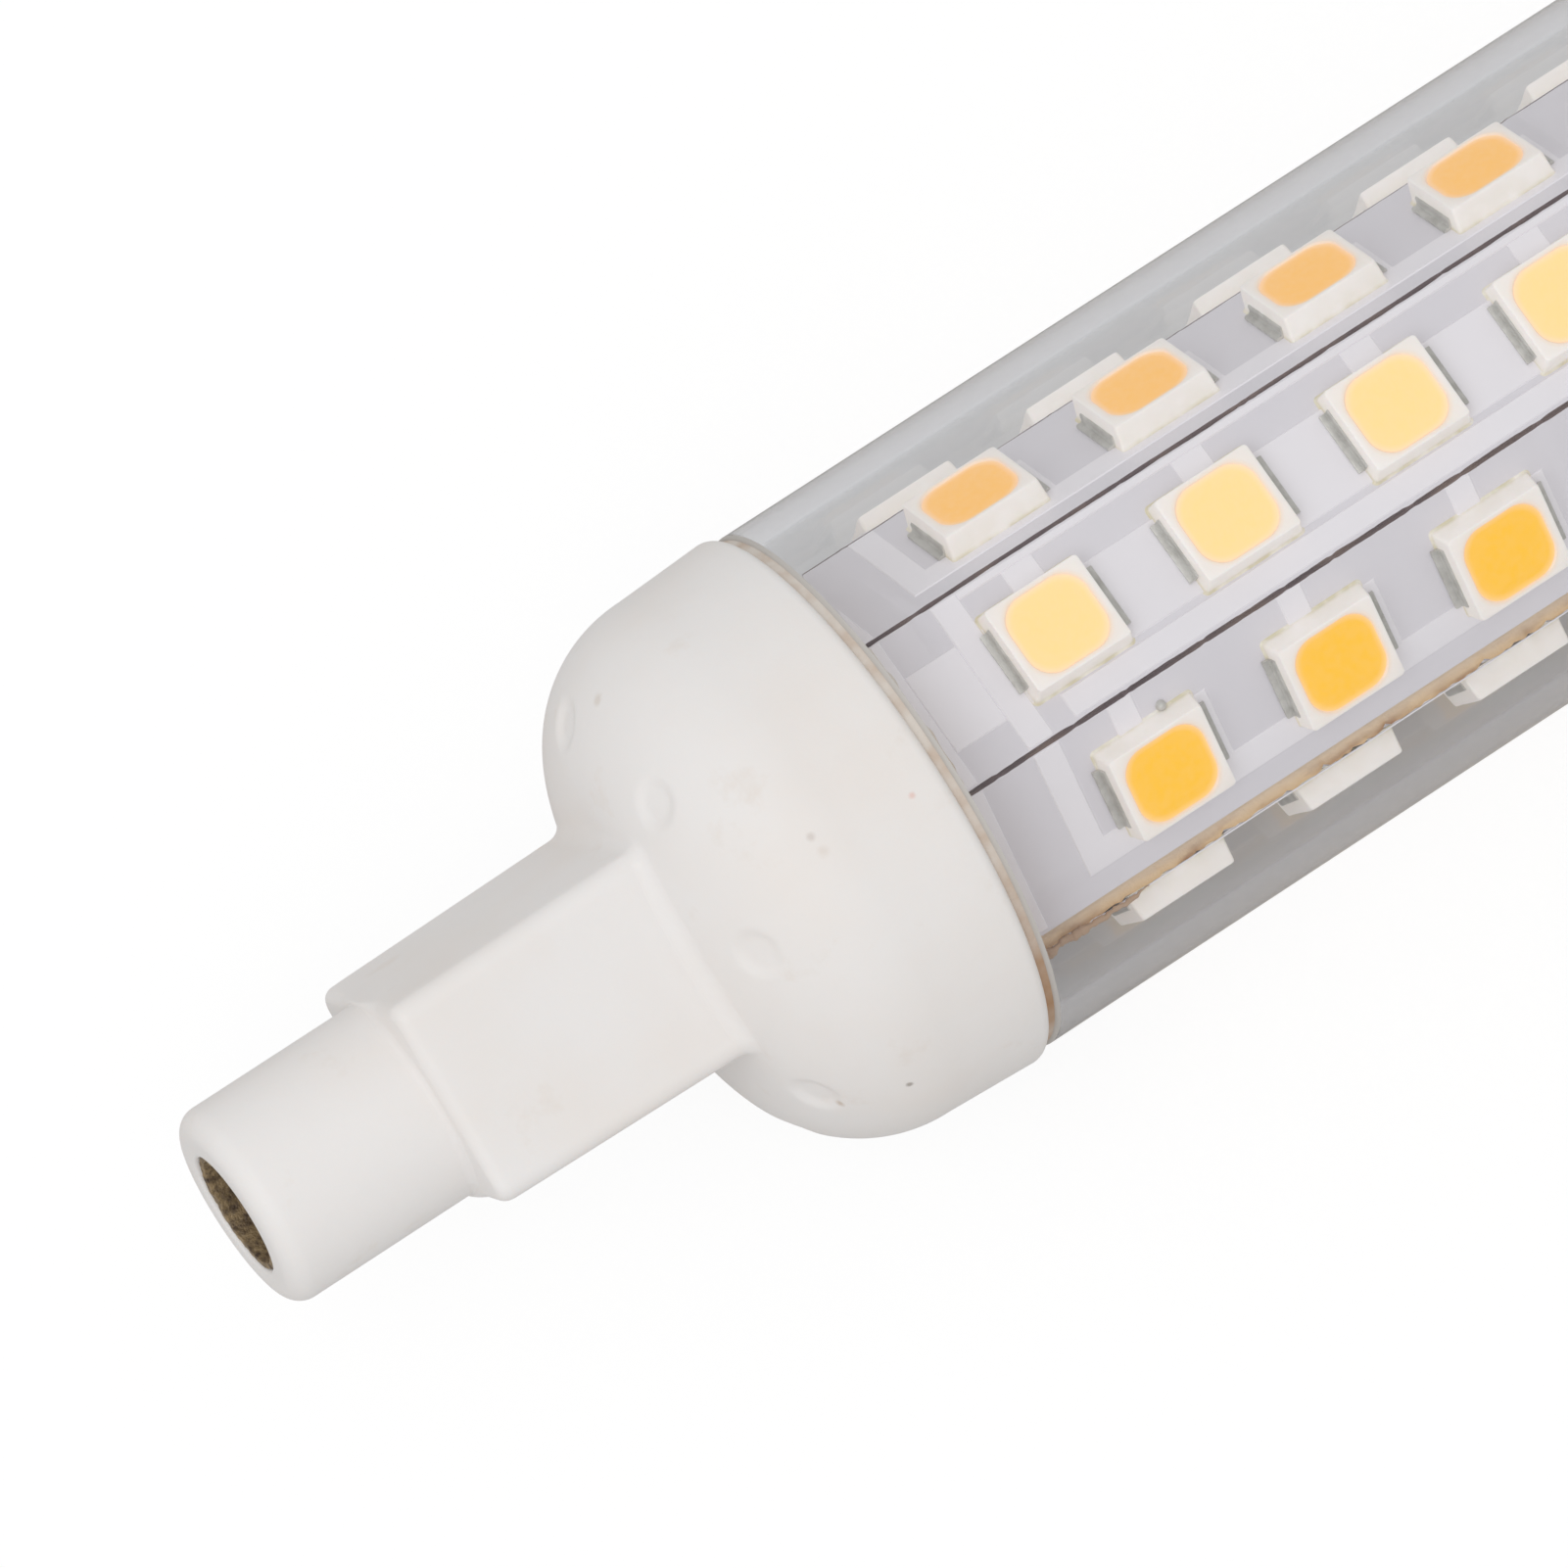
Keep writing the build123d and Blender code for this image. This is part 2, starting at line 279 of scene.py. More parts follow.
@dataclass
class Surface:
    """Vertices and faces of one piece, collected before it becomes a mesh."""

    points: list[np.ndarray] = field(default_factory=list)
    faces: list[np.ndarray] = field(default_factory=list)
    materials: list[np.ndarray] = field(default_factory=list)
    weights: list[np.ndarray] = field(default_factory=list)
    count: int = 0

    def add(
        self,
        points: np.ndarray,
        faces: np.ndarray,
        material: int | np.ndarray = 0,
        weight: float | np.ndarray = 0.0,
    ) -> None:
        """Adds a block of vertices with its faces.

        Args:
            points: (n, 3) positions in millimetres.
            faces: (m, 4) vertex numbers within the block; a triangle repeats its last vertex.
            material: Material number, one for all or one per face.
            weight: Value of the "tone" attribute, one for all or one per vertex.
        """
        points = np.asarray(points, float).reshape(-1, 3)
        faces = np.asarray(faces, int).reshape(-1, 4)
        self.points.append(points)
        self.faces.append(faces + self.count)
        self.materials.append(np.broadcast_to(np.asarray(material, int), (len(faces),)).copy())
        self.weights.append(np.broadcast_to(np.asarray(weight, float), (len(points),)).copy())
        self.count += len(points)

    def build(
        self, name: str, materials: Sequence[bpy.types.Material], smooth_angle: float = 40
    ) -> bpy.types.Object:
        """Makes the Blender object.

        Args:
            name: Object name.
            materials: Materials by number.
            smooth_angle: Edges sharper than this stay crisp, in degrees.

        Returns:
            The linked object, at the origin.
        """
        points = np.concatenate(self.points) * MM
        faces = np.concatenate(self.faces)
        numbers = np.concatenate(self.materials)
        weights = np.concatenate(self.weights)
        triangle = faces[:, 2] == faces[:, 3]
        sizes = np.where(triangle, 3, 4)
        starts = np.concatenate([[0], np.cumsum(sizes)[:-1]])
        keep = np.ones_like(faces, bool)
        keep[triangle, 3] = False
        loops = faces[keep]
        mesh = bpy.data.meshes.new(name)
        mesh.vertices.add(len(points))
        mesh.vertices.foreach_set("co", points.astype(np.float32).ravel())
        mesh.loops.add(len(loops))
        mesh.loops.foreach_set("vertex_index", loops.astype(np.int32))
        mesh.polygons.add(len(faces))
        mesh.polygons.foreach_set("loop_start", starts.astype(np.int32))
        mesh.polygons.foreach_set("loop_total", sizes.astype(np.int32))
        for material in materials:
            mesh.materials.append(material)
        mesh.polygons.foreach_set("material_index", numbers.astype(np.int32))
        mesh.update(calc_edges=True)
        mesh.validate()
        tone = mesh.attributes.new("tone", "FLOAT", "POINT")
        tone.data.foreach_set("value", weights.astype(np.float32))
        mesh.shade_smooth()
        mesh.set_sharp_from_angle(angle=math.radians(smooth_angle))
        made = bpy.data.objects.new(name, mesh)
        bpy.context.scene.collection.objects.link(made)
        return made


def ring_faces(rows: int, around: int) -> np.ndarray:
    """Quads between consecutive closed rows of points.

    Args:
        rows: Number of rows.
        around: Points in each row.

    Returns:
        (m, 4) vertex numbers.
    """
    r, a = np.meshgrid(np.arange(rows - 1), np.arange(around), indexing="ij")
    b = (a + 1) % around
    near, far = r * around, (r + 1) * around
    return np.stack([near + a, near + b, far + b, far + a], -1).reshape(-1, 4)


def fan_faces(first: int, around: int, tip: int) -> np.ndarray:
    """Triangles from a closed row of points to one tip.

    Args:
        first: Number of the row's first point.
        around: Points in the row.
        tip: Number of the tip.

    Returns:
        (around, 4) vertex numbers, each with its tip twice.
    """
    j = np.arange(around)
    tips = np.full(around, tip)
    return np.stack([first + j, first + (j + 1) % around, tips, tips], -1)


def round_angles(count: int) -> np.ndarray:
    """Angles of even steps round a circle, in radians: 2 pi j / count."""
    return 2 * math.pi * np.arange(count) / count


def lathe(profile: Sequence[tuple[float, float]], segments: int) -> tuple[np.ndarray, np.ndarray]:
    """Turns a closed profile about the X axis.

    The point at step j of n lies at x, r cos(2 pi j / n), r sin(2 pi j / n).

    Args:
        profile: (n, 2) points as x and radius; the last is joined to the first.
        segments: Steps round the axis.

    Returns:
        Points and quads.
    """
    profile = np.asarray(profile, float)
    profile = np.concatenate([profile, profile[:1]])
    turn = round_angles(segments)
    x = np.repeat(profile[:, 0][:, None], segments, 1)
    y = profile[:, 1][:, None] * np.cos(turn)
    z = profile[:, 1][:, None] * np.sin(turn)
    return np.stack([x, y, z], -1).reshape(-1, 3), ring_faces(len(profile), segments)


def arc(centre: tuple[float, float], radius: float, start: float, end: float, steps: int) -> np.ndarray:
    """Points on a circular arc in the plane, angles in degrees: centre + radius (cos t, sin t)."""
    turn = np.radians(np.linspace(start, end, steps))
    return np.stack([centre[0] + radius * np.cos(turn), centre[1] + radius * np.sin(turn)], -1)


def rounded_rectangle(length: float, width: float, radius: float, per_corner: int = 9) -> np.ndarray:
    """Outline of a rectangle with rounded corners: four quarter circles, joined by its sides.

    Args:
        length: Size along x.
        width: Size along y.
        radius: Corner radius.
        per_corner: Points on each corner.

    Returns:
        (4 per_corner, 2) points, counter-clockwise.
    """
    radius = min(radius, length / 2 - 1e-4, width / 2 - 1e-4)
    x, y = length / 2 - radius, width / 2 - radius
    corners = [(x, y, 0), (-x, y, 90), (-x, -y, 180), (x, -y, 270)]
    return np.concatenate([arc((cx, cy), radius, a, a + 90, per_corner) for cx, cy, a in corners])


# Finishes and materials


class Nodes:
    """Small builder for a material's node tree."""

    def __init__(self, name: str) -> None:
        """Starts a material with an output and the object's own coordinates."""
        self.material = bpy.data.materials.new(name)
        self.material.use_nodes = True
        self.tree = self.material.node_tree
        self.tree.nodes.clear()
        self.output = self.add("ShaderNodeOutputMaterial")
        self.where = self.add("ShaderNodeTexCoord").outputs["Object"]

    def add(self, kind: str, inputs: Optional[dict] = None, **settings: str) -> bpy.types.Node:
        """Adds one node.

        Args:
            kind: Node type.
            inputs: Socket name or number to a value, or to a socket to link from.
            settings: Plain properties of the node.

        Returns:
            The node.
        """
        node = self.tree.nodes.new(kind)
        for key, value in settings.items():
            setattr(node, key, value)
        for key, value in (inputs or {}).items():
            if isinstance(value, bpy.types.NodeSocket):
                self.tree.links.new(value, node.inputs[key])
            else:
                node.inputs[key].default_value = value
        return node

    def ramp(
        self,
        value: bpy.types.NodeSocket,
        edges: tuple[float, float],
        shares: tuple[float, float] = (0.0, 1.0),
    ) -> bpy.types.NodeSocket:
        """Straight line from one share to the other while a value goes from edge to edge.

        Args:
            value: The value.
            edges: Values where the line starts and ends.
            shares: Results there, kept beyond them.

        Returns:
            The result.
        """
        inputs = {"Value": value, "From Min": edges[0], "From Max": edges[1]}
        inputs |= {"To Min": shares[0], "To Max": shares[1]}
        return self.add("ShaderNodeMapRange", inputs).outputs["Result"]

    def mix(
        self,
        share: bpy.types.NodeSocket,
        under: bpy.types.NodeSocket | tuple[float, ...],
        upper: bpy.types.NodeSocket | tuple[float, ...],
    ) -> bpy.types.NodeSocket:
        """Lays one colour over another.

        Args:
            share: How much of the upper colour shows.
            under: The colour below.
            upper: The colour above.

        Returns:
            The mixed colour.
        """
        return self.add("ShaderNodeMix", {0: share, 6: under, 7: upper}, data_type="RGBA").outputs[2]

    def surface(self, shader: bpy.types.Node) -> bpy.types.Material:
        """Links a shader to the output and returns the material."""
        self.tree.links.new(shader.outputs[0], self.output.inputs["Surface"])
        return self.material


def grain(
    where: bpy.types.NodeSocket, size_mm: float, detail: float = 3.0, roughness: float = 0.55
) -> dict:
    """Inputs of a noise node whose features are about size_mm wide: its scale is 1 / size in metres.

    Args:
        where: Coordinates.
        size_mm: Size of the features.
        detail: How many finer layers the noise has.
        roughness: Strength of the finer layers.

    Returns:
        The inputs.
    """
    return {"Vector": where, "Scale": 1.0 / (size_mm * MM), "Detail": detail, "Roughness": roughness}


def patches(
    n: Nodes, noise: dict, edges: tuple[float, float], shares: tuple[float, float]
) -> bpy.types.NodeSocket:
    """Irregular patches: noise that fades from one share to the other between two of its values.

    Args:
        n: The material's nodes.
        noise: Inputs of the noise.
        edges: Noise values where a patch starts and where it is full.
        shares: Results at those values.

    Returns:
        The share, between the two given.
    """
    value = n.add("ShaderNodeTexNoise", noise).outputs["Fac"]
    return n.ramp(value, edges, shares)


@dataclass(frozen=True)
class Finish:
    """Look of a real material that is opaque.

    Attributes:
        name: Material name.
        colour: Main sRGB colour.
        second: Colour of the patches, or None.
        patch_mm: Size of the patches.
        patch_share: How strongly the patches show.
        roughness: Surface roughness.
        roughness_spread: How far the roughness wanders.
        metallic: 1 for a bare metal.
        specular: Strength of the plain reflection.
        grain_mm: Size of the fine relief.
        grain_height: Strength of the fine relief.
        coat: Clear layer on top.
        coat_roughness: Roughness of the clear layer.
        rim: Colour where the "tone" attribute is 1, or None.
        foot: Colour where the "tone" attribute is -1, or None.
        scatter: Share of light that goes through the skin.
        stretch: How much longer the patches are along the lamp than across it.
        glow: Painted glow: emission in the base colour that brightens the surface the same in light and
            shade.
        patch_edges: Noise values where a patch starts and where it is full.
        rough_edges: Noise values of the smoothest and the roughest places.
        rough_share: Size of the rough places as a share of the patches' size.
        foot_mm: Size of the gaps in the foot's colour.
        foot_edges: Noise values of those gaps and of the full colour.
        foot_least: Share of the foot's colour that stays in the gaps.
        skin_mm: Depth that light reaches in the skin.
        grain_depth_mm: Depth of the fine relief.
    """

    name: str
    colour: str
    second: Optional[str] = None
    patch_mm: float = 3.0
    patch_share: float = 0.3
    roughness: float = 0.5
    roughness_spread: float = 0.05
    metallic: float = 0.0
    specular: float = 0.5
    grain_mm: float = 0.2
    grain_height: float = 0.0
    coat: float = 0.0
    coat_roughness: float = 0.1
    rim: Optional[str] = None
    foot: Optional[str] = None
    scatter: float = 0.0
    stretch: float = 1.0
    glow: float = 0.0
    patch_edges: tuple[float, float] = (0.42, 0.68)
    rough_edges: tuple[float, float] = (0.3, 0.7)
    rough_share: float = 0.4
    foot_mm: float = 0.7
    foot_edges: tuple[float, float] = (0.35, 0.6)
    foot_least: float = 0.3
    skin_mm: float = 0.4
    grain_depth_mm: float = 0.05

    def base(self, n: Nodes) -> bpy.types.NodeSocket | tuple[float, ...]:
        """Colour: patches over the main colour, then the rim's and the foot's by the "tone" attribute.

        Args:
            n: The material's nodes.

        Returns:
            A colour socket, or the plain colour.
        """
        base = rgba(self.colour)
        if self.second:
            where = n.where
            if self.stretch != 1.0:
                drawn = {"Vector": where, "Scale": (1 / self.stretch, 1.0, 1.0)}
                where = n.add("ShaderNodeMapping", drawn).outputs["Vector"]
            share = patches(n, grain(where, self.patch_mm), self.patch_edges, (0.0, self.patch_share))
            base = n.mix(share, base, rgba(self.second))
        if not (self.rim or self.foot):
            return base
        tone = n.add("ShaderNodeAttribute", attribute_name="tone").outputs["Fac"]
        if self.rim:
            share = n.ramp(tone, (0.0, 1.0))
            base = n.mix(share, base, rgba(self.rim))
        if self.foot:
            uneven = patches(n, grain(n.where, self.foot_mm), self.foot_edges, (self.foot_least, 1.0))
            share = n.ramp(tone, (-1.0, 0.0), (1.0, 0.0))
            share = n.add("ShaderNodeMath", {0: share, 1: uneven}, operation="MULTIPLY").outputs[0]
            base = n.mix(share, base, rgba(self.foot))
        return base

    def material(self) -> bpy.types.Material:
        """Makes the material.

        Returns:
            The material.
        """
        n = Nodes(self.name)
        base = self.base(n)
        spread = (self.roughness - self.roughness_spread, self.roughness + self.roughness_spread)
        rough = patches(n, grain(n.where, self.patch_mm * self.rough_share), self.rough_edges, spread)
        inputs = {
            "Base Color": base,
            "Roughness": rough,
            "Metallic": self.metallic,
            "Specular IOR Level": self.specular,
            "Coat Weight": self.coat,
            "Coat Roughness": self.coat_roughness,
        }
        if self.scatter:
            inputs |= {"Subsurface Weight": self.scatter, "Subsurface Scale": self.skin_mm * MM}
        # painted glow: the surface shines by itself, though it is no lamp
        if self.glow:
            inputs |= {"Emission Color": base, "Emission Strength": self.glow}
        if self.grain_height:
            relief = n.add("ShaderNodeTexNoise", grain(n.where, self.grain_mm, 2.0)).outputs["Fac"]
            depth = {"Height": relief, "Strength": self.grain_height, "Distance": self.grain_depth_mm * MM}
            inputs["Normal"] = n.add("ShaderNodeBump", depth).outputs["Normal"]
        return n.surface(n.add("ShaderNodeBsdfPrincipled", inputs))


# White solder mask over bare glass-fibre laminate: flat, cool white
MASK = Finish("solder_mask", "#E4E0E6", "#DAD6DD", 6.0, 0.35, 0.42, 0.06)
# The same mask over copper: a little lighter and smoother
TRACK = Finish("mask_on_copper", "#F5F1F6", "#EBE7EC", 5.0, 0.35, 0.36, 0.05)
# Scored and broken laminate in a fold: a dark line with paler fibres
CRACK = Finish("cracked_fold", "#5E4C50", "#8A7468", 0.6, 0.6, 0.8, 0.1, stretch=3.0)
# Sawn edge of glass-fibre laminate: layered tan, paler towards the inner face
LAMINATE = Finish(
    "laminate_edge", "#DCB888", "#9C6A3A", 0.35, 1.0, 0.7, 0.1, grain_mm=0.1, grain_height=0.5,
    rim="#EAD8C2", stretch=4.0,
)
# White heat-proof moulding resin: pinkish by the window, yellowish with flux at the foot, with a painted
# glow that brightens the whole body
RESIN = Finish(
    "led_resin", "#FBF5F1", "#F2EAE2", 1.2, 0.3, 0.38, 0.05, rim="#FFE2C6", foot="#D6CBAC",
    scatter=0.05, glow=0.1,
)
# Dull tin plate on the LED feet: grey, hardly shining
TIN = Finish("tin_plate", "#CFCDC8", "#A09D96", 0.5, 0.5, 0.5, 0.1, metallic=0.3)
# Cement: dry, sandy, beige to brown
CEMENT = Finish(
    "cement", "#DDD5CC", "#C4AC96", 1.1, 0.6, 0.8, 0.1, grain_mm=0.12, grain_height=0.4, rim="#AE8763"
)
# Tarnished brass contact: blotched brown, with little shine left
BRASS = Finish(
    "tarnished_brass", "#A08A68", "#43342C", 0.3, 0.9, 0.55, 0.15, metallic=0.35, grain_mm=0.12,
    grain_height=0.9,
)
# Dried drop of red lacquer: even and smooth
RED_LACQUER = Finish("red_lacquer", "#A8525C", roughness=0.4)
# Ground end of the glass tube: matt pale grey
GROUND = Finish("ground_glass_edge", "#C2BEB9", roughness=0.6)
# Bare glass-fibre laminate of the driver board: yellowish
DRIVER_BOARD = Finish("driver_laminate", "#B9A15E", "#A58C4C", 3.0, 0.4, 0.5, 0.05)
# Black moulding compound of chips: matt
BLACK_MOULD = Finish("black_mould", "#202022", roughness=0.55)
# Shrunk plastic sleeve of a capacitor: black and glossy
SLEEVE = Finish("capacitor_sleeve", "#26262C", roughness=0.28, coat=0.3)
# Lacquered resistor body: blue-green and glossy
LACQUER = Finish("resistor_lacquer", "#4E7A84", roughness=0.35)
# Pressed and fired ferrite: dark and dull
FERRITE = Finish("ferrite", "#3A3A3C", roughness=0.7)
# Enamelled copper wire: red-brown metal under clear enamel
COPPER = Finish("enamelled_copper", "#B06A3C", "#8F4C28", 0.6, 0.4, 0.35, 0.05, metallic=0.9, coat=0.3)


@dataclass(frozen=True)
class Mark:
    """Small stain or speck: centre in millimetres, radius, colour and strength."""

    spot: tuple[float, float, float]
    radius: float
    colour: str
    strength: float


@dataclass(frozen=True)
class Steatite:
    """Unglazed white steatite, pressed and fired: satin, faintly mottled, with a few specks.

    Attributes:
        white: Main colour.
        warm: Colour of the broad mottling.
        stain: Colour of the smaller stains.
        mottle_mm: Size of the mottling.
        mottle_edges: Noise values where it starts and where it is full.
        mottle_share: How strongly it shows.
        stain_mm: Size of the stains.
        stain_edges: Noise values where a stain starts and where it is full.
        stain_share: How strongly the stains show.
        ragged_mm: Size of the noise that makes the marks ragged.
        ragged_share: How far it pulls a mark's edge in, as a share of the mark's radius.
        mark_core: Share of a mark's radius up to which it is full.
        mark_edge: Share of its radius at which it is gone.
        pore_mm: Size of the pores.
        pore_depth: Depth of the pores.
        swell_mm: Size of the broad unevenness.
        swell_depth: Depth of the broad unevenness.
        relief: Strength of the relief.
        gloss_mm: Size of the smoother places.
        gloss_edges: Noise values of the smoothest and the roughest places.
        roughness: Roughness there.
        specular: Strength of the plain reflection.
        scatter: Share of light that goes through the skin.
        reach: How much deeper each of red, green and blue goes than the others.
        skin_mm: Depth that light reaches in the skin.
        marks: Stains and specks from firing and handling.
    """

    white: str = "#F1EEEC"
    warm: str = "#EEE7E1"
    stain: str = "#DDCDBC"
    mottle_mm: float = 7.0
    mottle_edges: tuple[float, float] = (0.42, 0.72)
    mottle_share: float = 0.6
    stain_mm: float = 2.4
    stain_edges: tuple[float, float] = (0.62, 0.82)
    stain_share: float = 0.35
    ragged_mm: float = 0.25
    ragged_share: float = 0.8
    mark_core: float = 0.7
    mark_edge: float = 1.5
    pore_mm: float = 0.3
    pore_depth: float = 0.010
    swell_mm: float = 3.5
    swell_depth: float = 0.06
    relief: float = 0.8
    gloss_mm: float = 1.5
    gloss_edges: tuple[float, float] = (0.3, 0.7)
    roughness: tuple[float, float] = (0.48, 0.6)
    specular: float = 0.4
    scatter: float = 0.15
    reach: tuple[float, float, float] = (1.0, 0.85, 0.75)
    skin_mm: float = 0.7
    marks: tuple[Mark, ...] = (
        Mark((-40.53, -2.76, 8.30), 0.15, "#AC9A8C", 0.3),
        Mark((-40.46, -3.25, 8.11), 0.22, "#D2C2B2", 0.25),
        Mark((-41.04, -8.45, 1.61), 0.13, "#85766A", 0.65),
        Mark((-42.80, -7.45, 0.60), 0.16, "#B4997C", 0.5),
        Mark((-44.90, 4.80, -1.40), 0.20, "#D6AE8C", 0.5),
        Mark((-37.41, -3.36, 8.29), 0.12, "#E0A08C", 0.4),
        Mark((-42.51, 5.14, 5.84), 0.24, "#D2C3B2", 0.4),
        Mark((40.60, 6.10, 6.40), 0.14, "#8F8070", 0.7),
        Mark((38.20, -7.80, -4.30), 0.20, "#C9B7A2", 0.6),
    )

    def colour(self, n: Nodes) -> bpy.types.NodeSocket:
        """Mottled and stained white with the marks on it.

        The distance to a mark's centre, with ragged noise added, fades the mark out between two radii.

        Args:
            n: The material's nodes.

        Returns:
            The colour socket.
        """
        share = patches(n, grain(n.where, self.mottle_mm), self.mottle_edges, (0.0, self.mottle_share))
        colour = n.mix(share, rgba(self.white), rgba(self.warm))
        noise = grain(n.where, self.stain_mm, 5.0, 0.62)
        share = patches(n, noise, self.stain_edges, (0.0, self.stain_share))
        colour = n.mix(share, colour, rgba(self.stain))
        ragged = n.add("ShaderNodeTexNoise", grain(n.where, self.ragged_mm, 2.0, 0.5)).outputs["Fac"]
        for mark in self.marks:
            pair = {0: n.where, 1: Vector(mark.spot) * MM}
            away = n.add("ShaderNodeVectorMath", pair, operation="DISTANCE").outputs["Value"]
            product = {0: ragged, 1: mark.radius * self.ragged_share * MM}
            pull = n.add("ShaderNodeMath", product, operation="MULTIPLY").outputs[0]
            away = n.add("ShaderNodeMath", {0: away, 1: pull}, operation="ADD").outputs[0]
            edges = (mark.radius * self.mark_core * MM, mark.radius * self.mark_edge * MM)
            share = n.ramp(away, edges, (mark.strength, 0.0))
            colour = n.mix(share, colour, rgba(mark.colour))
        return colour

    def normal(self, n: Nodes) -> bpy.types.NodeSocket:
        """Relief: the sum of fine pores and broad swells, each noise times its depth in millimetres.

        Args:
            n: The material's nodes.

        Returns:
            The normal socket.
        """
        heights = []
        for noise, depth in (
            (grain(n.where, self.pore_mm), self.pore_depth),
            (grain(n.where, self.swell_mm, 2.0), self.swell_depth),
        ):
            value = n.add("ShaderNodeTexNoise", noise).outputs["Fac"]
            heights.append(n.add("ShaderNodeMath", {0: value, 1: depth}, operation="MULTIPLY").outputs[0])
        height = n.add("ShaderNodeMath", dict(enumerate(heights)), operation="ADD").outputs[0]
        bump = n.add("ShaderNodeBump", {"Height": height, "Strength": self.relief, "Distance": 1.0 * MM})
        return bump.outputs["Normal"]

    def material(self) -> bpy.types.Material:
        """Makes the material.

        Returns:
            The material.
        """
        n = Nodes("steatite")
        inputs = {
            "Base Color": self.colour(n),
            "Roughness": patches(n, grain(n.where, self.gloss_mm), self.gloss_edges, self.roughness),
            "Specular IOR Level": self.specular,
            "Subsurface Weight": self.scatter,
            "Subsurface Radius": self.reach,
            "Subsurface Scale": self.skin_mm * MM,
            "Normal": self.normal(n),
        }
        return n.surface(n.add("ShaderNodeBsdfPrincipled", inputs))


@dataclass(frozen=True)
class Phosphor:
    """Silicone filled with phosphor powder: matt yellow body under a soft clear skin.

    The faint emission is a painted glow: it stands for the yellow light that the powder makes from the
    studio's blue light, and it shines the same in light and shade.

    Attributes:
        name: Material name.
        colour: Colour in the middle.
        edge: Colour at the rim, where the white walls shine through.
        powder_mm: Size of the powder's clumps, drawn coarser than real ones so that they show.
        powder_edges: Noise values where a clump starts and where it is full.
        powder_share: How strongly the clumps show.
        roughness: Surface roughness.
        specular: Strength of the plain reflection.
        coat: Clear skin.
        coat_roughness: Roughness of the clear skin.
        glow: Strength of the emission, a painted glow.
    """

    name: str
    colour: str
    edge: str
    powder_mm: float = 0.25
    powder_edges: tuple[float, float] = (0.35, 0.65)
    powder_share: float = 0.12
    roughness: float = 0.5
    specular: float = 0.35
    coat: float = 0.25
    coat_roughness: float = 0.28
    glow: float = 0.27

    def material(self) -> bpy.types.Material:
        """Makes the material.

        Returns:
            The material.
        """
        n = Nodes(self.name)
        tone = n.add("ShaderNodeAttribute", attribute_name="tone").outputs["Fac"]
        noise = grain(n.where, self.powder_mm, 2.0)
        share = patches(n, noise, self.powder_edges, (0.0, self.powder_share))
        powder = n.mix(share, rgba(self.colour), rgba(self.edge))
        base = n.mix(tone, powder, rgba(self.edge))
        inputs = {
            "Base Color": base,
            "Roughness": self.roughness,
            "Specular IOR Level": self.specular,
            "Coat Weight": self.coat,
            "Coat Roughness": self.coat_roughness,
            # painted glow: the phosphor shines by itself in its own colour
            "Emission Color": base,
            "Emission Strength": self.glow,
        }
        return n.surface(n.add("ShaderNodeBsdfPrincipled", inputs))


@dataclass(frozen=True)
class TubeGlass:
    """Thin-walled drawn tube glass: clear, with faint streaks along it; it lets shadow light through."""

    colour: str = "#F7F8F8"
    roughness: float = 0.015
    ior: float = 1.47
    streak_mm: float = 1.2
    streak_length: float = 50.0
    streak_strength: float = 0.25
    streak_depth_mm: float = 0.01
    through: float = 0.99

    def material(self) -> bpy.types.Material:
        """Makes the material.

        Returns:
            The material.
        """
        n = Nodes("tube_glass")
        drawn = {"Vector": n.where, "Scale": (1 / self.streak_length, 1.0, 1.0)}
        where = n.add("ShaderNodeMapping", drawn).outputs["Vector"]
        streaks = n.add("ShaderNodeTexNoise", grain(where, self.streak_mm, 2.0)).outputs["Fac"]
        depth = {
            "Height": streaks,
            "Strength": self.streak_strength,
            "Distance": self.streak_depth_mm * MM,
        }
        inputs = {
            "Base Color": rgba(self.colour),
            "Roughness": self.roughness,
            "IOR": self.ior,
            "Transmission Weight": 1.0,
            "Normal": n.add("ShaderNodeBump", depth).outputs["Normal"],
        }
        glass = n.add("ShaderNodeBsdfPrincipled", inputs).outputs[0]
        passed = (self.through, self.through, self.through, 1.0)
        clear = n.add("ShaderNodeBsdfTransparent", {"Color": passed}).outputs[0]
        path = n.add("ShaderNodeLightPath").outputs
        rays = {0: path["Is Shadow Ray"], 1: path["Is Diffuse Ray"]}
        either = n.add("ShaderNodeMath", rays, operation="MAXIMUM").outputs[0]
        return n.surface(n.add("ShaderNodeMixShader", {0: either, 1: glass, 2: clear}))


# Pieces of the lamp


def dress(piece: bpy.types.Object, slot: str, *nodes: str) -> bpy.types.Object:
    """Hangs a made piece on the lamp in place of its CAD nodes and reports it.

    Args:
        piece: The made object.
        slot: The record's material slot.
        nodes: CAD nodes that the piece stands for, or none.

    Returns:
        The piece.
    """
    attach(piece, "root")
    if nodes:
        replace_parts(piece, *nodes)
    log.info("%s: %d faces, slot %s", piece.name, len(piece.data.polygons), slot)
    return piece


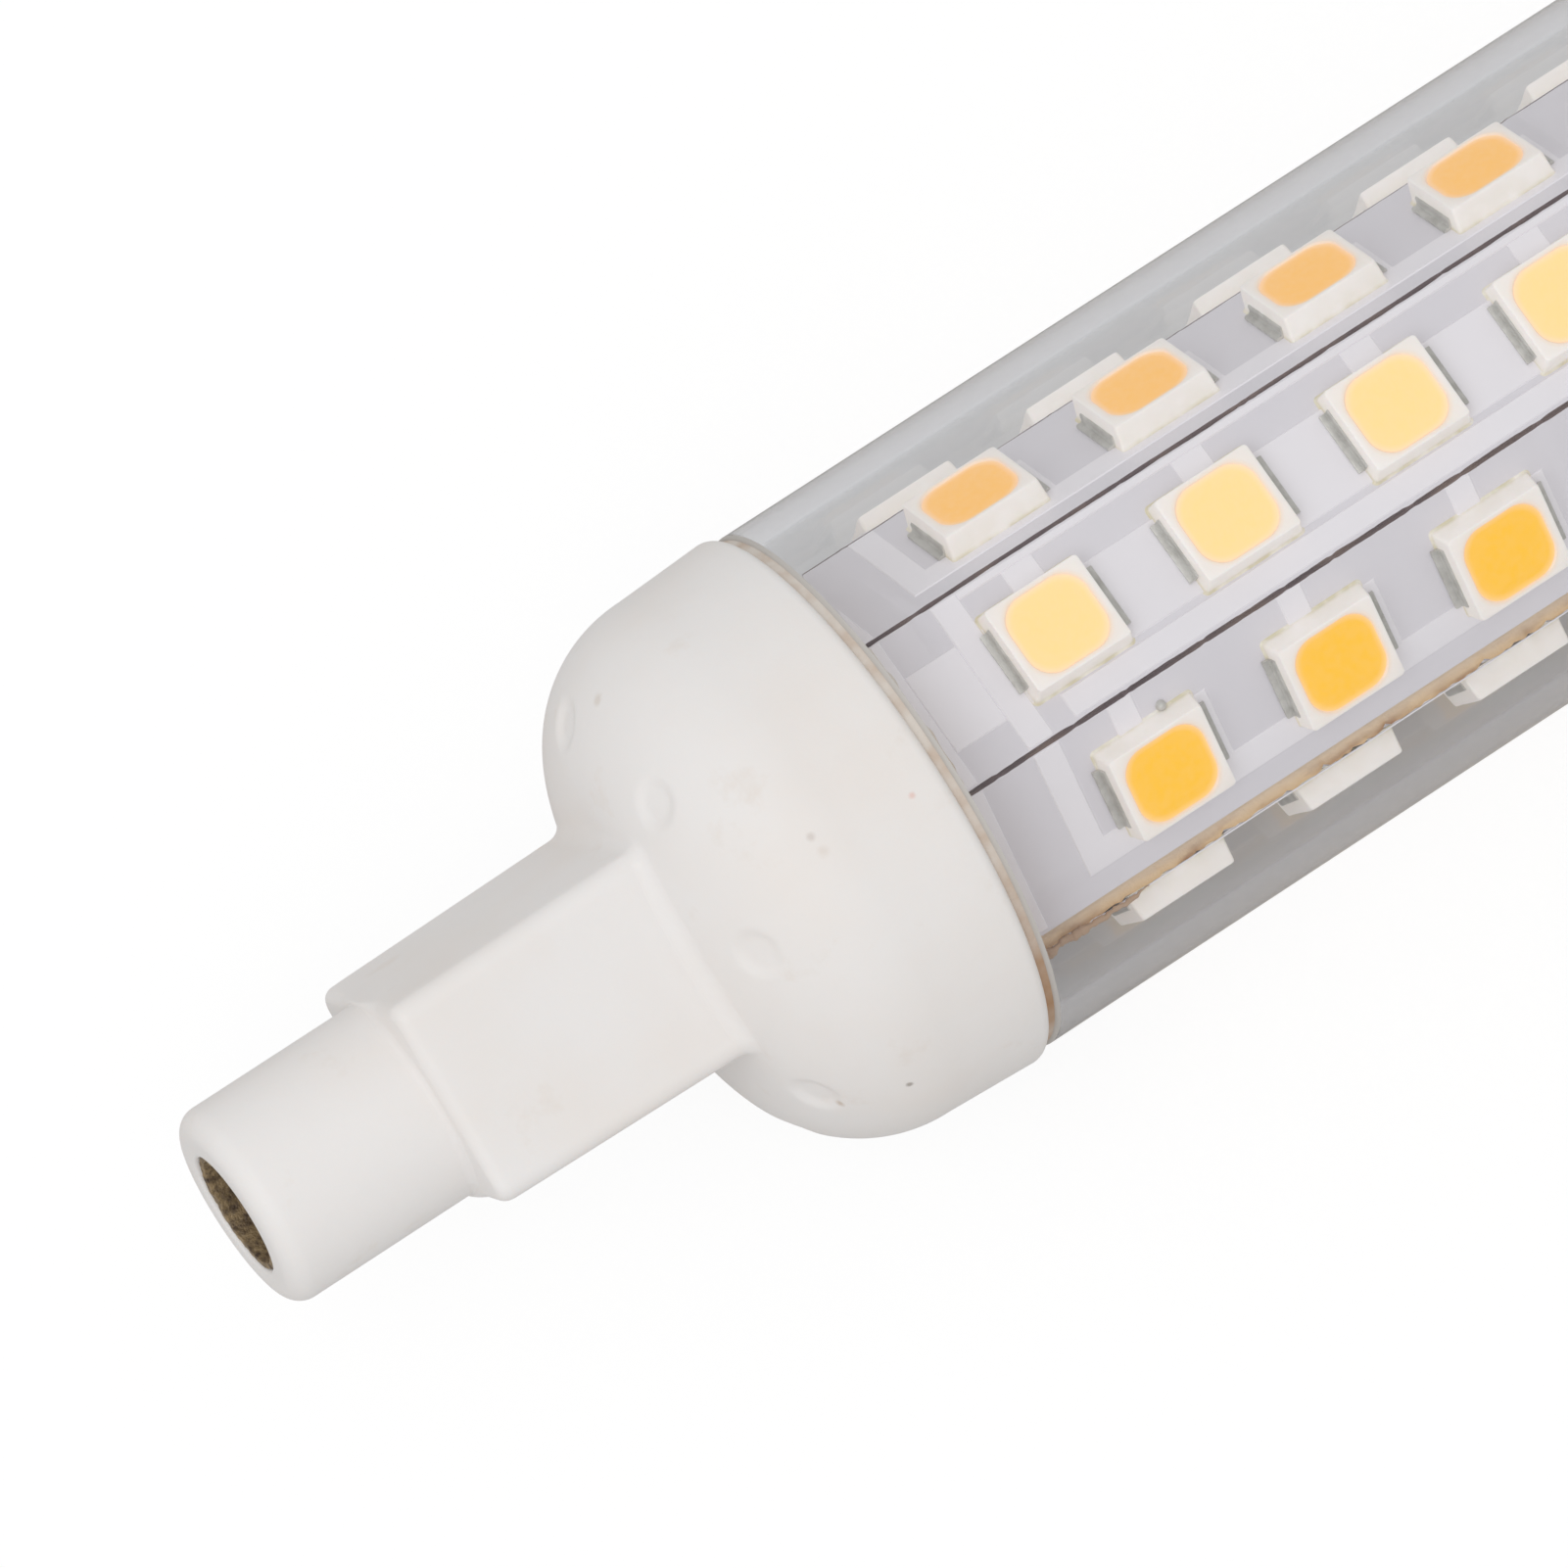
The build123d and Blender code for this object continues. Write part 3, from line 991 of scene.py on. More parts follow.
@dataclass
class FoldedCage:
    """The folded board as seen from its strips.

    Attributes:
        sizes: Sizes of the lamp.
        angles: Outward direction of each strip, from straight up towards -Y.
        corners: (strips + 1, 2) outer corner points as y and z.
    """

    sizes: LampSizes = SIZES
    angles: list[float] = field(init=False)
    corners: np.ndarray = field(init=False)

    def __post_init__(self) -> None:
        """Walks round the folds, one strip's width at a time, and puts the corners in place."""
        self.angles = [self.sizes.first_strip_angle]
        for fold in self.sizes.folds:
            self.angles.append(self.angles[-1] - fold)
        corners = [np.zeros(2)]
        for angle in self.angles:
            corners.append(corners[-1] + self.across(angle) * self.sizes.strip_width)
        points = np.array(corners)
        middle = points[: self.sizes.strip_count].mean(0)
        self.corners = points - middle + np.array([self.sizes.cage_back, -self.sizes.cage_drop])

    @staticmethod
    def outward(angle: float) -> np.ndarray:
        """Outward direction at an angle, as y and z."""
        return np.array([-math.sin(math.radians(angle)), math.cos(math.radians(angle))])

    @staticmethod
    def across(angle: float) -> np.ndarray:
        """Direction across a strip at an angle, as y and z."""
        return np.array([math.cos(math.radians(angle)), math.sin(math.radians(angle))])

    def place(self, strip: int, local: np.ndarray) -> np.ndarray:
        """Maps strip coordinates to the lamp: the strip's middle + y times across + z times outward.

        Args:
            strip: Number of the strip from 0.
            local: (n, 3) points: x along the lamp, y across the strip from its middle, z outwards.

        Returns:
            (n, 3) points in the lamp's frame, in millimetres.
        """
        middle = (self.corners[strip] + self.corners[strip + 1]) / 2
        across, outward = self.across(self.angles[strip]), self.outward(self.angles[strip])
        plane = middle + local[:, 1:2] * across + local[:, 2:3] * outward
        return np.column_stack([local[:, 0], plane])

    def led_centres(self, strip: int) -> np.ndarray:
        """X of each LED of a strip; neighbouring strips are staggered."""
        first = self.sizes.first_led_odd if strip % 2 == 0 else self.sizes.first_led_even
        return self.sizes.rim_face + first + self.sizes.led_pitch * np.arange(self.sizes.leds_per_strip)


@dataclass(frozen=True)
class CopperLayout:
    """Copper areas of the strips, x from the left rim and y from the strip's middle.

    Strips with plates between their LEDs take turns with strips that have one long track.

    Attributes:
        margin: Bare board between copper and a fold.
        end_bar: The bar at the left end, from and to.
        cross_bar: The bar before the first LED, from and to.
        far_gap: Bare board between the long tracks and the right rim.
        plate: The plates between LEDs, from and to across the strip.
        plate_gap: Gap from an LED's middle to the plates.
        lower_margin: Bare board below the lower long track.
        lower_edge: Upper edge of the lower long track.
        lower_lead: How far before the first LED it starts.
        upper_width: Lower edge of the upper long track, from the fold.
        plate_tab: Solder tab beside an LED, from and to along the lamp, from its middle.
        plate_tab_side: That tab's lower edge, and its gap to the fold.
        short_bar_margin: Bare board below the cross bar of a strip with one long track.
        track: The one long track, from and to across the strip.
        far_bar: The bar at the right end, as its edges' distances from the right rim.
        bar_foot: Lower edge of that bar.
        tab: Solder tab beside an LED, from and to along the lamp, from its middle.
        tab_side: That tab's lower edge, and its gap to the fold.
        link: Link between LEDs, from and to along the lamp, from an LED's middle.
        link_side: The link, from and to across the strip.
    """

    margin: float = 0.12
    end_bar: tuple[float, float] = (1.0, 1.35)
    cross_bar: tuple[float, float] = (3.15, 4.05)
    far_gap: float = 1.3
    plate: tuple[float, float] = (-1.42, 1.2)
    plate_gap: float = 1.6
    lower_margin: float = 0.18
    lower_edge: float = -1.62
    lower_lead: float = 1.0
    upper_width: float = 0.36
    plate_tab: tuple[float, float] = (-0.35, 0.75)
    plate_tab_side: tuple[float, float] = (1.45, 0.34)
    short_bar_margin: float = 0.8
    track: tuple[float, float] = (-1.85, -0.95)
    far_bar: tuple[float, float] = (4.2, 3.3)
    bar_foot: float = -1.0
    tab: tuple[float, float] = (-0.75, 0.1)
    tab_side: tuple[float, float] = (1.3, 0.1)
    link: tuple[float, float] = (1.7, 2.2)
    link_side: tuple[float, float] = (-1.0, 1.3)

    def with_plates(self, leds: np.ndarray, length: float, half: float) -> list[tuple[float, ...]]:
        """Copper of a strip that has plates between its LEDs.

        Args:
            leds: Middle of each LED.
            length: Distance between the two rims.
            half: Half the width of a strip.

        Returns:
            Areas as x from, x to, y from, y to.
        """
        start, end = self.cross_bar
        side = half - self.margin
        areas = [
            (*self.end_bar, -side, side),
            (start, end, -side, side),
            (leds[0] - self.lower_lead, length - self.far_gap, -half + self.lower_margin, self.lower_edge),
            (end, length - self.far_gap, half - self.upper_width, side),
        ]
        low, gap = self.plate_tab_side
        for number, led in enumerate(leds):
            areas.append((led + self.plate_tab[0], led + self.plate_tab[1], low, half - gap))
            if number < len(leds) - 1:
                areas.append((led + self.plate_gap, leds[number + 1] - self.plate_gap, *self.plate))
        areas.append((self.end_bar[1], start, *self.plate))
        areas.append((end, leds[0] - self.plate_gap, *self.plate))
        return areas

    def with_track(self, leds: np.ndarray, length: float, half: float) -> list[tuple[float, ...]]:
        """Copper of a strip that has one long track.

        Args:
            leds: Middle of each LED.
            length: Distance between the two rims.
            half: Half the width of a strip.

        Returns:
            Areas as x from, x to, y from, y to.
        """
        start, end = self.cross_bar
        side = half - self.margin
        areas = [
            (*self.end_bar, -side, side),
            (start, end, -half + self.short_bar_margin, side),
            (start, length - self.far_gap, *self.track),
            (length - self.far_bar[0], length - self.far_bar[1], self.bar_foot, side),
        ]
        low, gap = self.tab_side
        for number, led in enumerate(leds):
            areas.append((led + self.tab[0], led + self.tab[1], low, half - gap))
            if number < len(leds) - 1:
                areas.append((led + self.link[0], led + self.link[1], *self.link_side))
        return areas


@dataclass
class FoldedBoard:
    """White board with cracked folds, raised copper tracks and sawn edges.

    Attributes:
        cage: Where the strips lie.
        copper: Where the copper lies.
        steps: Points along the lamp.
        crack_half: Half the width of the crack in a fold.
        crack_depth: Depth of that crack.
        skin_depth: Depth of the fold where the mask bridges the crack.
        narrowing: How much narrower the crack is at a bridge, as a share.
        width_change: How much the crack's width wanders, as a share.
        sway: How far the crack wanders sideways.
        bridge_contrast: How abruptly a bridge begins.
        bridge_rarity: How rare the bridges are.
        torn_depth: How far the free edge is torn back across the strip.
        frayed_depth: How far it is frayed from the outer face.
        track_height: Height of the copper under the mask.
        track_step: Difference in height that keeps crossing areas apart.
        track_levels: Number of such heights.
        track_slope: Width of an area's sloping edge.
        track_sink: How far an area's foot lies under the mask.
    """

    cage: FoldedCage
    copper: CopperLayout = field(default_factory=CopperLayout)
    steps: int = 420
    crack_half: float = 0.085
    crack_depth: float = 0.1
    skin_depth: float = 0.006
    narrowing: float = 0.3
    width_change: float = 0.1
    sway: float = 0.01
    bridge_contrast: float = 5.0
    bridge_rarity: float = 3.7
    torn_depth: float = 0.04
    frayed_depth: float = 0.10
    track_height: float = 0.035
    track_step: float = 0.0012
    track_levels: int = 5
    track_slope: float = 0.03
    track_sink: float = 0.002
    bridges: Waver = Waver(40, 12, 2.4)
    crack_width: Waver = Waver(80, 8, 2.0)
    crack_sway: Waver = Waver(120, 6, 14.0)
    tears: Waver = Waver(300, 14, 6.0)
    frays: Waver = Waver(320, 14, 3.0)

    def edge_lines(self, k: int, x: np.ndarray) -> tuple[list[np.ndarray], np.ndarray]:
        """Outer and inner line of a free edge of the sheet; the last one is torn and frayed.

        Args:
            k: Number of the corner, the first or the last.
            x: Positions along the lamp.

        Returns:
            The outer lines and the inner one, each (steps, 2) as y and z.
        """
        corner = self.cage.corners[k]
        angle = self.cage.angles[-1] if k else self.cage.angles[0]
        across, outward = self.cage.across(angle), self.cage.outward(angle)
        torn = self.torn_depth * np.abs(self.tears.at(x)) if k else np.zeros(self.steps)
        frayed = self.frayed_depth * np.abs(self.frays.at(x)) if k else np.zeros(self.steps)
        outer = corner - across * torn[:, None] - outward * frayed[:, None]
        inner = np.broadcast_to(corner - outward * self.cage.sizes.board_thickness, (self.steps, 2))
        return [outer], inner

    def fold_lines(self, k: int, x: np.ndarray) -> tuple[list[np.ndarray], np.ndarray]:
        """Outer and inner lines of a fold: two lips, the crack's bottom between them and the inner corner.

        Args:
            k: Number of the corner.
            x: Positions along the lamp.

        Returns:
            The three outer lines and the inner one, each (steps, 2) as y and z.
        """
        cage = self.cage
        corner, before, after = cage.corners[k], cage.angles[k - 1], cage.angles[k]
        middle, half = (before + after) / 2, (before - after) / 2
        open_share = np.clip(self.bridges.at(x, k) * self.bridge_contrast + self.bridge_rarity, 0.0, 1.0)
        change = 1 + self.width_change * self.crack_width.at(x, k)
        wide = self.crack_half * (1 - self.narrowing + self.narrowing * open_share) * change
        deep = self.crack_depth * open_share + self.skin_depth
        sway = self.sway * self.crack_sway.at(x, k)
        outer = [
            corner - cage.across(before) * (wide + sway)[:, None],
            corner - cage.outward(middle) * deep[:, None],
            corner + cage.across(after) * (wide - sway)[:, None],
        ]
        thick = cage.sizes.board_thickness / math.cos(math.radians(half))
        return outer, np.broadcast_to(corner - cage.outward(middle) * thick, (self.steps, 2))

    def sheet(self) -> Surface:
        """The folded sheet: outer faces, fine broken line in each fold, inner faces and sawn edges.

        Each corner gives lines along the lamp, and the sheet is the closed loop of all of them.

        Returns:
            The surface, with material 0 for the mask, 1 for the cracks and 2 for the sawn edges.
        """
        strips = self.cage.sizes.strip_count
        start = self.cage.sizes.rim_face + self.cage.sizes.board_end_gap
        x = np.linspace(start, -start, self.steps)
        outer, inner = [], []
        for k in range(strips + 1):
            lines = self.edge_lines if k in (0, strips) else self.fold_lines
            above, below = lines(k, x)
            outer += above
            inner.append(below)
        yz = np.stack(outer + inner[::-1], 1)
        points = np.concatenate([np.broadcast_to(x[:, None, None], (*yz.shape[:2], 1)), yz], -1)
        around, last_outer = yz.shape[1], len(outer) - 1
        faces = ring_faces(self.steps, around)
        column = np.tile(np.arange(around), self.steps - 1)
        cracked = (column < last_outer) & (column % 3 != 0)
        sawn = (column == last_outer) | (column == around - 1)
        material = np.where(sawn, 2, np.where(cracked, 1, 0))
        pale = np.tile(np.arange(around) > last_outer, self.steps).astype(float)
        made = Surface()
        made.add(points.reshape(-1, 3), faces[:, ::-1], material, pale)
        self.close_ends(made, points, len(outer))
        return made

    def close_ends(self, made: Surface, points: np.ndarray, outer_count: int) -> None:
        """Closes both sawn ends with one quad under each strip and two triangles under each crack.

        Args:
            made: The sheet, which gets the faces.
            points: (steps, around, 3) points of the sheet.
            outer_count: How many of the points around lie on the outer side.
        """
        around = points.shape[1]
        strips = around - outer_count - 1
        quads = []
        for k in range(strips):
            first, inside = 3 * k, around - 2 - k
            quads.append([first, first + 1, inside, inside + 1])
            if k < strips - 1:
                quads.append([first + 1, first + 2, inside, inside])
                quads.append([first + 2, first + 3, inside, inside])
        quads = np.array(quads)
        triangle = (quads[:, 2] == quads[:, 3])[:, None]
        made.add(points[0], quads, 2)
        made.add(points[-1], np.where(triangle, quads[:, [1, 0, 2, 2]], quads[:, ::-1]), 2)

    def tracks(self) -> Surface:
        """Raised copper areas under the mask, each a low block with sloping edges.

        Returns:
            The surface.
        """
        sizes, slope = self.cage.sizes, self.track_slope
        faces = np.concatenate([ring_faces(2, 4), [[4, 5, 6, 7]]])
        made = Surface()
        for strip in range(sizes.strip_count):
            layout = self.copper.with_plates if strip % 2 == 1 else self.copper.with_track
            leds = self.cage.led_centres(strip) - sizes.rim_face
            areas = layout(leds, -2 * sizes.rim_face, sizes.strip_width / 2)
            for number, (x0, x1, y0, y1) in enumerate(areas):
                height = self.track_height + self.track_step * (number % self.track_levels)
                foot = np.array([(x0, y0), (x1, y0), (x1, y1), (x0, y1)])
                top = foot + slope * np.array([(1, 1), (-1, 1), (-1, -1), (1, -1)])
                level = np.repeat([-self.track_sink, height], 4)
                local = np.column_stack([np.concatenate([foot, top]), level])
                made.add(self.cage.place(strip, local + np.array([sizes.rim_face, 0, 0])), faces)
        return made


@dataclass
class LedPackage:
    """One surface-mounted LED in its own coordinates: x along the lamp, z outwards."""

    sizes: LampSizes = SIZES
    window_length: float = 2.70
    window_width: float = 2.44
    window_corner: float = 0.8
    window_level: float = 0.745
    tray_floor: float = 0.36
    draft: float = math.tan(math.radians(6))
    flux: float = 0.16
    flux_height: float = 0.04
    foot_reach: float = 0.25
    foot_height: float = 0.38
    foot_thickness: float = 0.13
    foot_half: float = 1.0

    def stack(
        self, rows: Sequence[tuple[float, ...]], top: tuple[float, float], bottom: tuple[float, float]
    ) -> tuple[np.ndarray, np.ndarray, np.ndarray]:
        """Closed skin over a stack of rounded outlines.

        Args:
            rows: Outlines from the bottom up, as length, width, corner, height and tone.
            top: Height and tone of the middle of the last outline.
            bottom: Height and tone of the middle of the first outline.

        Returns:
            Points, faces and tones.
        """
        rings = []
        for length, width, corner, z, _ in rows:
            flat = rounded_rectangle(length, width, corner)
            rings.append(np.column_stack([flat, np.full(len(flat), z)]))
        around = len(rings[0])
        points = np.concatenate([*rings, [[0, 0, top[0]], [0, 0, bottom[0]]]])
        tone = np.concatenate([np.repeat([row[4] for row in rows], around), [top[1], bottom[1]]])
        over_top = fan_faces((len(rows) - 1) * around, around, len(points) - 2)
        under = fan_faces(0, around, len(points) - 1)[:, [1, 0, 2, 3]]
        return points, np.concatenate([ring_faces(len(rows), around), over_top, under]), tone

    def housing(self) -> tuple[np.ndarray, np.ndarray, np.ndarray]:
        """White body: flux, sloping wall, softened top edge, flat rim, sloping tray wall and floor.

        At height z the sloping wall lies draft times z inside the foot.

        Returns:
            Points, faces and tones.
        """
        level = self.sizes.led_height

        def body(grow: float, corner: float, z: float, tone: float) -> tuple[float, ...]:
            """Outline of the body, grown on its foot's size."""
            return (self.sizes.led_length + grow, self.sizes.led_width + grow, corner, z, tone)

        def tray(grow: float, corner: float, z: float, tone: float) -> tuple[float, ...]:
            """Outline of the tray, grown on the window's size."""
            length, width = self.window_length + grow, self.window_width + grow
            return (length, width, self.window_corner + corner, z, tone)

        lean = 2 * self.draft
        rows = [
            body(self.flux, 0.16, 0.0, -1.0),
            body(0.04, 0.12, self.flux_height, -0.9),
            body(-lean * 0.16, 0.10, 0.16, -0.25),
            body(-lean * 0.7, 0.12, 0.7, -0.08),
            body(-lean * 0.75 - 0.03, 0.13, level - 0.02, 0.0),
            body(-lean * 0.77 - 0.09, 0.14, level, 0.0),
            (self.window_length + 0.30, self.window_width + 0.26, self.window_corner + 0.05, level, 0.15),
            tray(0.08, 0.0, level - 0.01, 0.6),
            tray(0.0, 0.0, self.window_level - 0.01, 0.9),
            tray(0.0, 0.0, self.tray_floor, 1.0),
        ]
        return self.stack(rows, (self.tray_floor, 1.0), (0.0, 0.0))

    def window(self) -> tuple[np.ndarray, np.ndarray, np.ndarray]:
        """Phosphor filling with a slightly raised edge where the silicone climbs the wall.

        Returns:
            Points, faces and tones.
        """
        length, width, corner, level = (
            self.window_length, self.window_width, self.window_corner, self.window_level
        )
        rows = [
            (length, width, corner, self.tray_floor, 1.0),
            (length, width, corner, level, 1.0),
            (length - 0.12, width - 0.12, corner, level - 0.008, 0.55),
            (length - 0.34, width - 0.34, corner - 0.08, level - 0.012, 0.08),
            (length * 0.6, width * 0.6, 0.6, level - 0.004, 0.0),
            (length * 0.2, width * 0.2, 0.2, level, 0.0),
        ]
        return self.stack(rows, (level, 0.0), (self.tray_floor, 1.0))

    def feet(self) -> tuple[np.ndarray, np.ndarray, np.ndarray]:
        """Tinned feet: each lies on the board and turns up the end wall.

        Each foot is one section, as distance from the end wall and height, drawn out across the LED.

        Returns:
            Points, faces and tones.
        """
        reach, thick, high = self.foot_reach, self.foot_thickness, self.foot_height
        section = np.array([
            (0.0, 0.0), (reach, 0.0), (reach, thick - 0.03), (reach - 0.05, thick), (0.07, thick),
            (0.03, thick + 0.05), (0.02, high - 0.04), (-0.02, high), (-0.06, high),
        ]) + np.array([self.sizes.led_length / 2, 0.0])
        count = len(section)
        j = np.arange(1, count - 1)
        end_out = np.stack([np.zeros_like(j), j, j + 1, j + 1], -1)
        end_in = end_out[:, [0, 2, 1, 1]]
        walls = ring_faces(2, count)
        points, faces = [], []
        for side in (-1, 1):
            for y in (-self.foot_half, self.foot_half):
                points.append(np.column_stack([side * section[:, 0], np.full(count, y), section[:, 1]]))
            near, far = (end_in, end_out) if side > 0 else (end_out, end_in)
            skin = np.concatenate([walls if side > 0 else walls[:, ::-1], near, far + count])
            faces.append(skin + count * (side + 1))
        points = np.concatenate(points)
        return points, np.concatenate(faces), np.zeros(len(points))


@dataclass
class LedStrips:
    """All LEDs, strip by strip, in place of the CAD groups."""

    cage: FoldedCage
    package: LedPackage = field(default_factory=LedPackage)
    # Middle and rim colour of each strip's phosphor, with painted light and shade: paler on strips that
    # face the light, deeper on shaded ones
    tones: tuple[tuple[str, str], ...] = (
        ("#FFC000", "#FFCF86"),
        ("#FFDA8E", "#FFDDB4"),
        ("#FFC060", "#FFD3A6"),
        ("#FFCF70", "#FFD7A8"),
        ("#FFD684", "#FFD9AC"),
        ("#FFCC62", "#FFD4A0"),
        ("#FFD684", "#FFD9AC"),
        ("#FFC650", "#FFD096"),
    )

    def build(self, resin: bpy.types.Material, tin: bpy.types.Material) -> None:
        """Makes housings, windows and feet of every strip and hides the CAD groups they stand for.

        Args:
            resin: Material of the housings.
            tin: Material of the feet.
        """
        parts: dict[str, tuple[Callable, str]] = {
            "housings": (self.package.housing, "led_white"),
            "windows": (self.package.window, "phosphor"),
            "leads": (self.package.feet, "tinned_metal"),
        }
        for strip, (middle, rim) in enumerate(self.tones):
            # one copy of the phosphor per strip, carrying that strip's painted light and shade
            glow = Phosphor(f"phosphor_{strip + 1}", middle, rim).material()
            look = {"housings": resin, "windows": glow, "leads": tin}
            for word, (shape, slot) in parts.items():
                points, faces, tone = shape()
                made = Surface()
                for x in self.cage.led_centres(strip):
                    local = points + np.array([x, 0, 0])
                    made.add(self.cage.place(strip, local), faces, 0, tone)
                piece = made.build(f"led_{word}_look_{strip + 1}", [look[word]], 35)
                dress(piece, slot, f"led_{word}_strip_{strip + 1}")


@dataclass(frozen=True)
class Bead:
    """A low round drop on a strip: its place, radius and height."""

    strip: int
    x: float
    across: float
    radius: float
    height: float


@dataclass
class BoardSpecks:
    """Small things left on the board: a solder bead, a fleck of red lacquer and a run of cement."""

    cage: FoldedCage
    solder: Bead = Bead(0, -29.02, 1.62, 0.17, 0.2)
    fleck: Bead = Bead(1, -21.3, -1.7, 0.08, 0.02)
    bead_around: int = 20
    bead_lifts: tuple[float, ...] = (0.0, 20.0, 40.0, 60.0, 80.0)
    bead_sink: float = 0.002
    run_start: float = 0.45
    run_length: float = 4.2
    run_radius: float = 0.17
    run_least: float = 0.004
    run_body: float = 0.75
    run_lumps: float = 0.35
    run_inset: float = 0.06
    run_sway: float = 0.05
    run_steps: int = 90
    run_around: int = 14
    run_tone: float = 0.8
    lumps: Waver = Waver(500, 12, 1.6)
    wandering: Waver = Waver(501, 8, 2.5)

    def bead(self, spot: Bead) -> Surface:
        """Low round bead: at distance u from its middle it is height sqrt(1 - (u / radius)^2) high.

        Args:
            spot: The bead.

        Returns:
            The surface.
        """
        turn = round_angles(self.bead_around)
        lift = np.radians(self.bead_lifts)[:, None]
        u = spot.radius * np.cos(lift)
        level = np.broadcast_to(spot.height * np.sin(lift) - self.bead_sink, (len(lift), self.bead_around))
        rows = np.stack([spot.x + u * np.cos(turn), spot.across + u * np.sin(turn), level], -1)
        made = Surface()
        faces = ring_faces(len(lift), self.bead_around)
        made.add(self.cage.place(spot.strip, rows.reshape(-1, 3)), faces)
        top = np.concatenate([rows[-1], [[spot.x, spot.across, spot.height]]])
        made.add(self.cage.place(spot.strip, top), fan_faces(0, self.bead_around, self.bead_around))
        return made

    def run(self) -> Surface:
        """Lumpy run of cement that left the cap's ring and crept along the seam, thinning to nothing.

        At share u of its length its radius is r sqrt(1 - u) (0.75 + 0.35 n(x)), n being a waver.

        Returns:
            The surface.
        """
        share = np.linspace(0, 1, self.run_steps)
        x = self.cage.sizes.rim_face + self.run_start + np.linspace(0, self.run_length, self.run_steps)
        lumpy = self.run_body + self.run_lumps * self.lumps.at(x)
        size = self.run_radius * np.sqrt(1 - share) * lumpy + self.run_least
        middle = self.cage.corners[-1] + np.array([-self.run_inset, 0.0])
        sway = self.run_sway * self.wandering.at(x)
        turn = round_angles(self.run_around)
        y = middle[0] + sway[:, None] + size[:, None] * np.cos(turn)
        z = middle[1] + size[:, None] * np.sin(turn)
        points = np.stack([np.repeat(x[:, None], self.run_around, 1), y, z], -1).reshape(-1, 3)
        made = Surface()
        made.add(points, ring_faces(self.run_steps, self.run_around), 0, self.run_tone)
        return made

    def build(self, tin: bpy.types.Material, cement: bpy.types.Material) -> None:
        """Makes the run of cement, the bead and the fleck.

        Args:
            tin: Material of the bead.
            cement: Material of the run.
        """
        dress(self.run().build("cement_run", [cement], 60), "cement")
        dress(self.bead(self.solder).build("solder_bead", [tin], 60), "tinned_metal")
        dress(self.bead(self.fleck).build("red_fleck", [RED_LACQUER.material()], 60), "board_white")


@dataclass
class GlassSleeve:
    """Clear tube with ground ends."""

    sizes: LampSizes = SIZES
    segments: int = 256
    lead_in: float = 0.2
    rings: int = 9

    def build(self, clear: bpy.types.Material, ground: bpy.types.Material) -> None:
        """Turns the tube wall's section, a long rectangle with rounded corners, about the lamp's axis.

        Args:
            clear: Material of the wall.
            ground: Material of the two ends.
        """
        s = self.sizes
        start, edge = s.rim_face + s.joint_gap, s.glass_edge
        outer, inner = s.glass_outer_radius, s.glass_inner_radius
        between = np.linspace(start + 1, -start - 1, self.rings)
        along = np.concatenate([[start + self.lead_in], between, [-start - self.lead_in]])
        profile = np.concatenate([
            arc((start + edge, outer - edge), edge, 180, 90, 6),
            np.column_stack([along, np.full(len(along), outer)]),
            arc((-start - edge, outer - edge), edge, 90, 0, 6),
            arc((-start - edge, inner + edge), edge, 0, -90, 5),
            np.column_stack([along[::-1], np.full(len(along), inner)]),
            arc((start + edge, inner + edge), edge, -90, -180, 5),
        ])
        points, faces = lathe(profile, self.segments)
        at_end = np.abs(points[:, 0])[faces].min(1) > -start - edge - 1e-6
        made = Surface()
        made.add(points, faces, at_end.astype(int))
        dress(made.build("glass_sleeve", [clear, ground], 60), "clear_glass", "glass_tube")


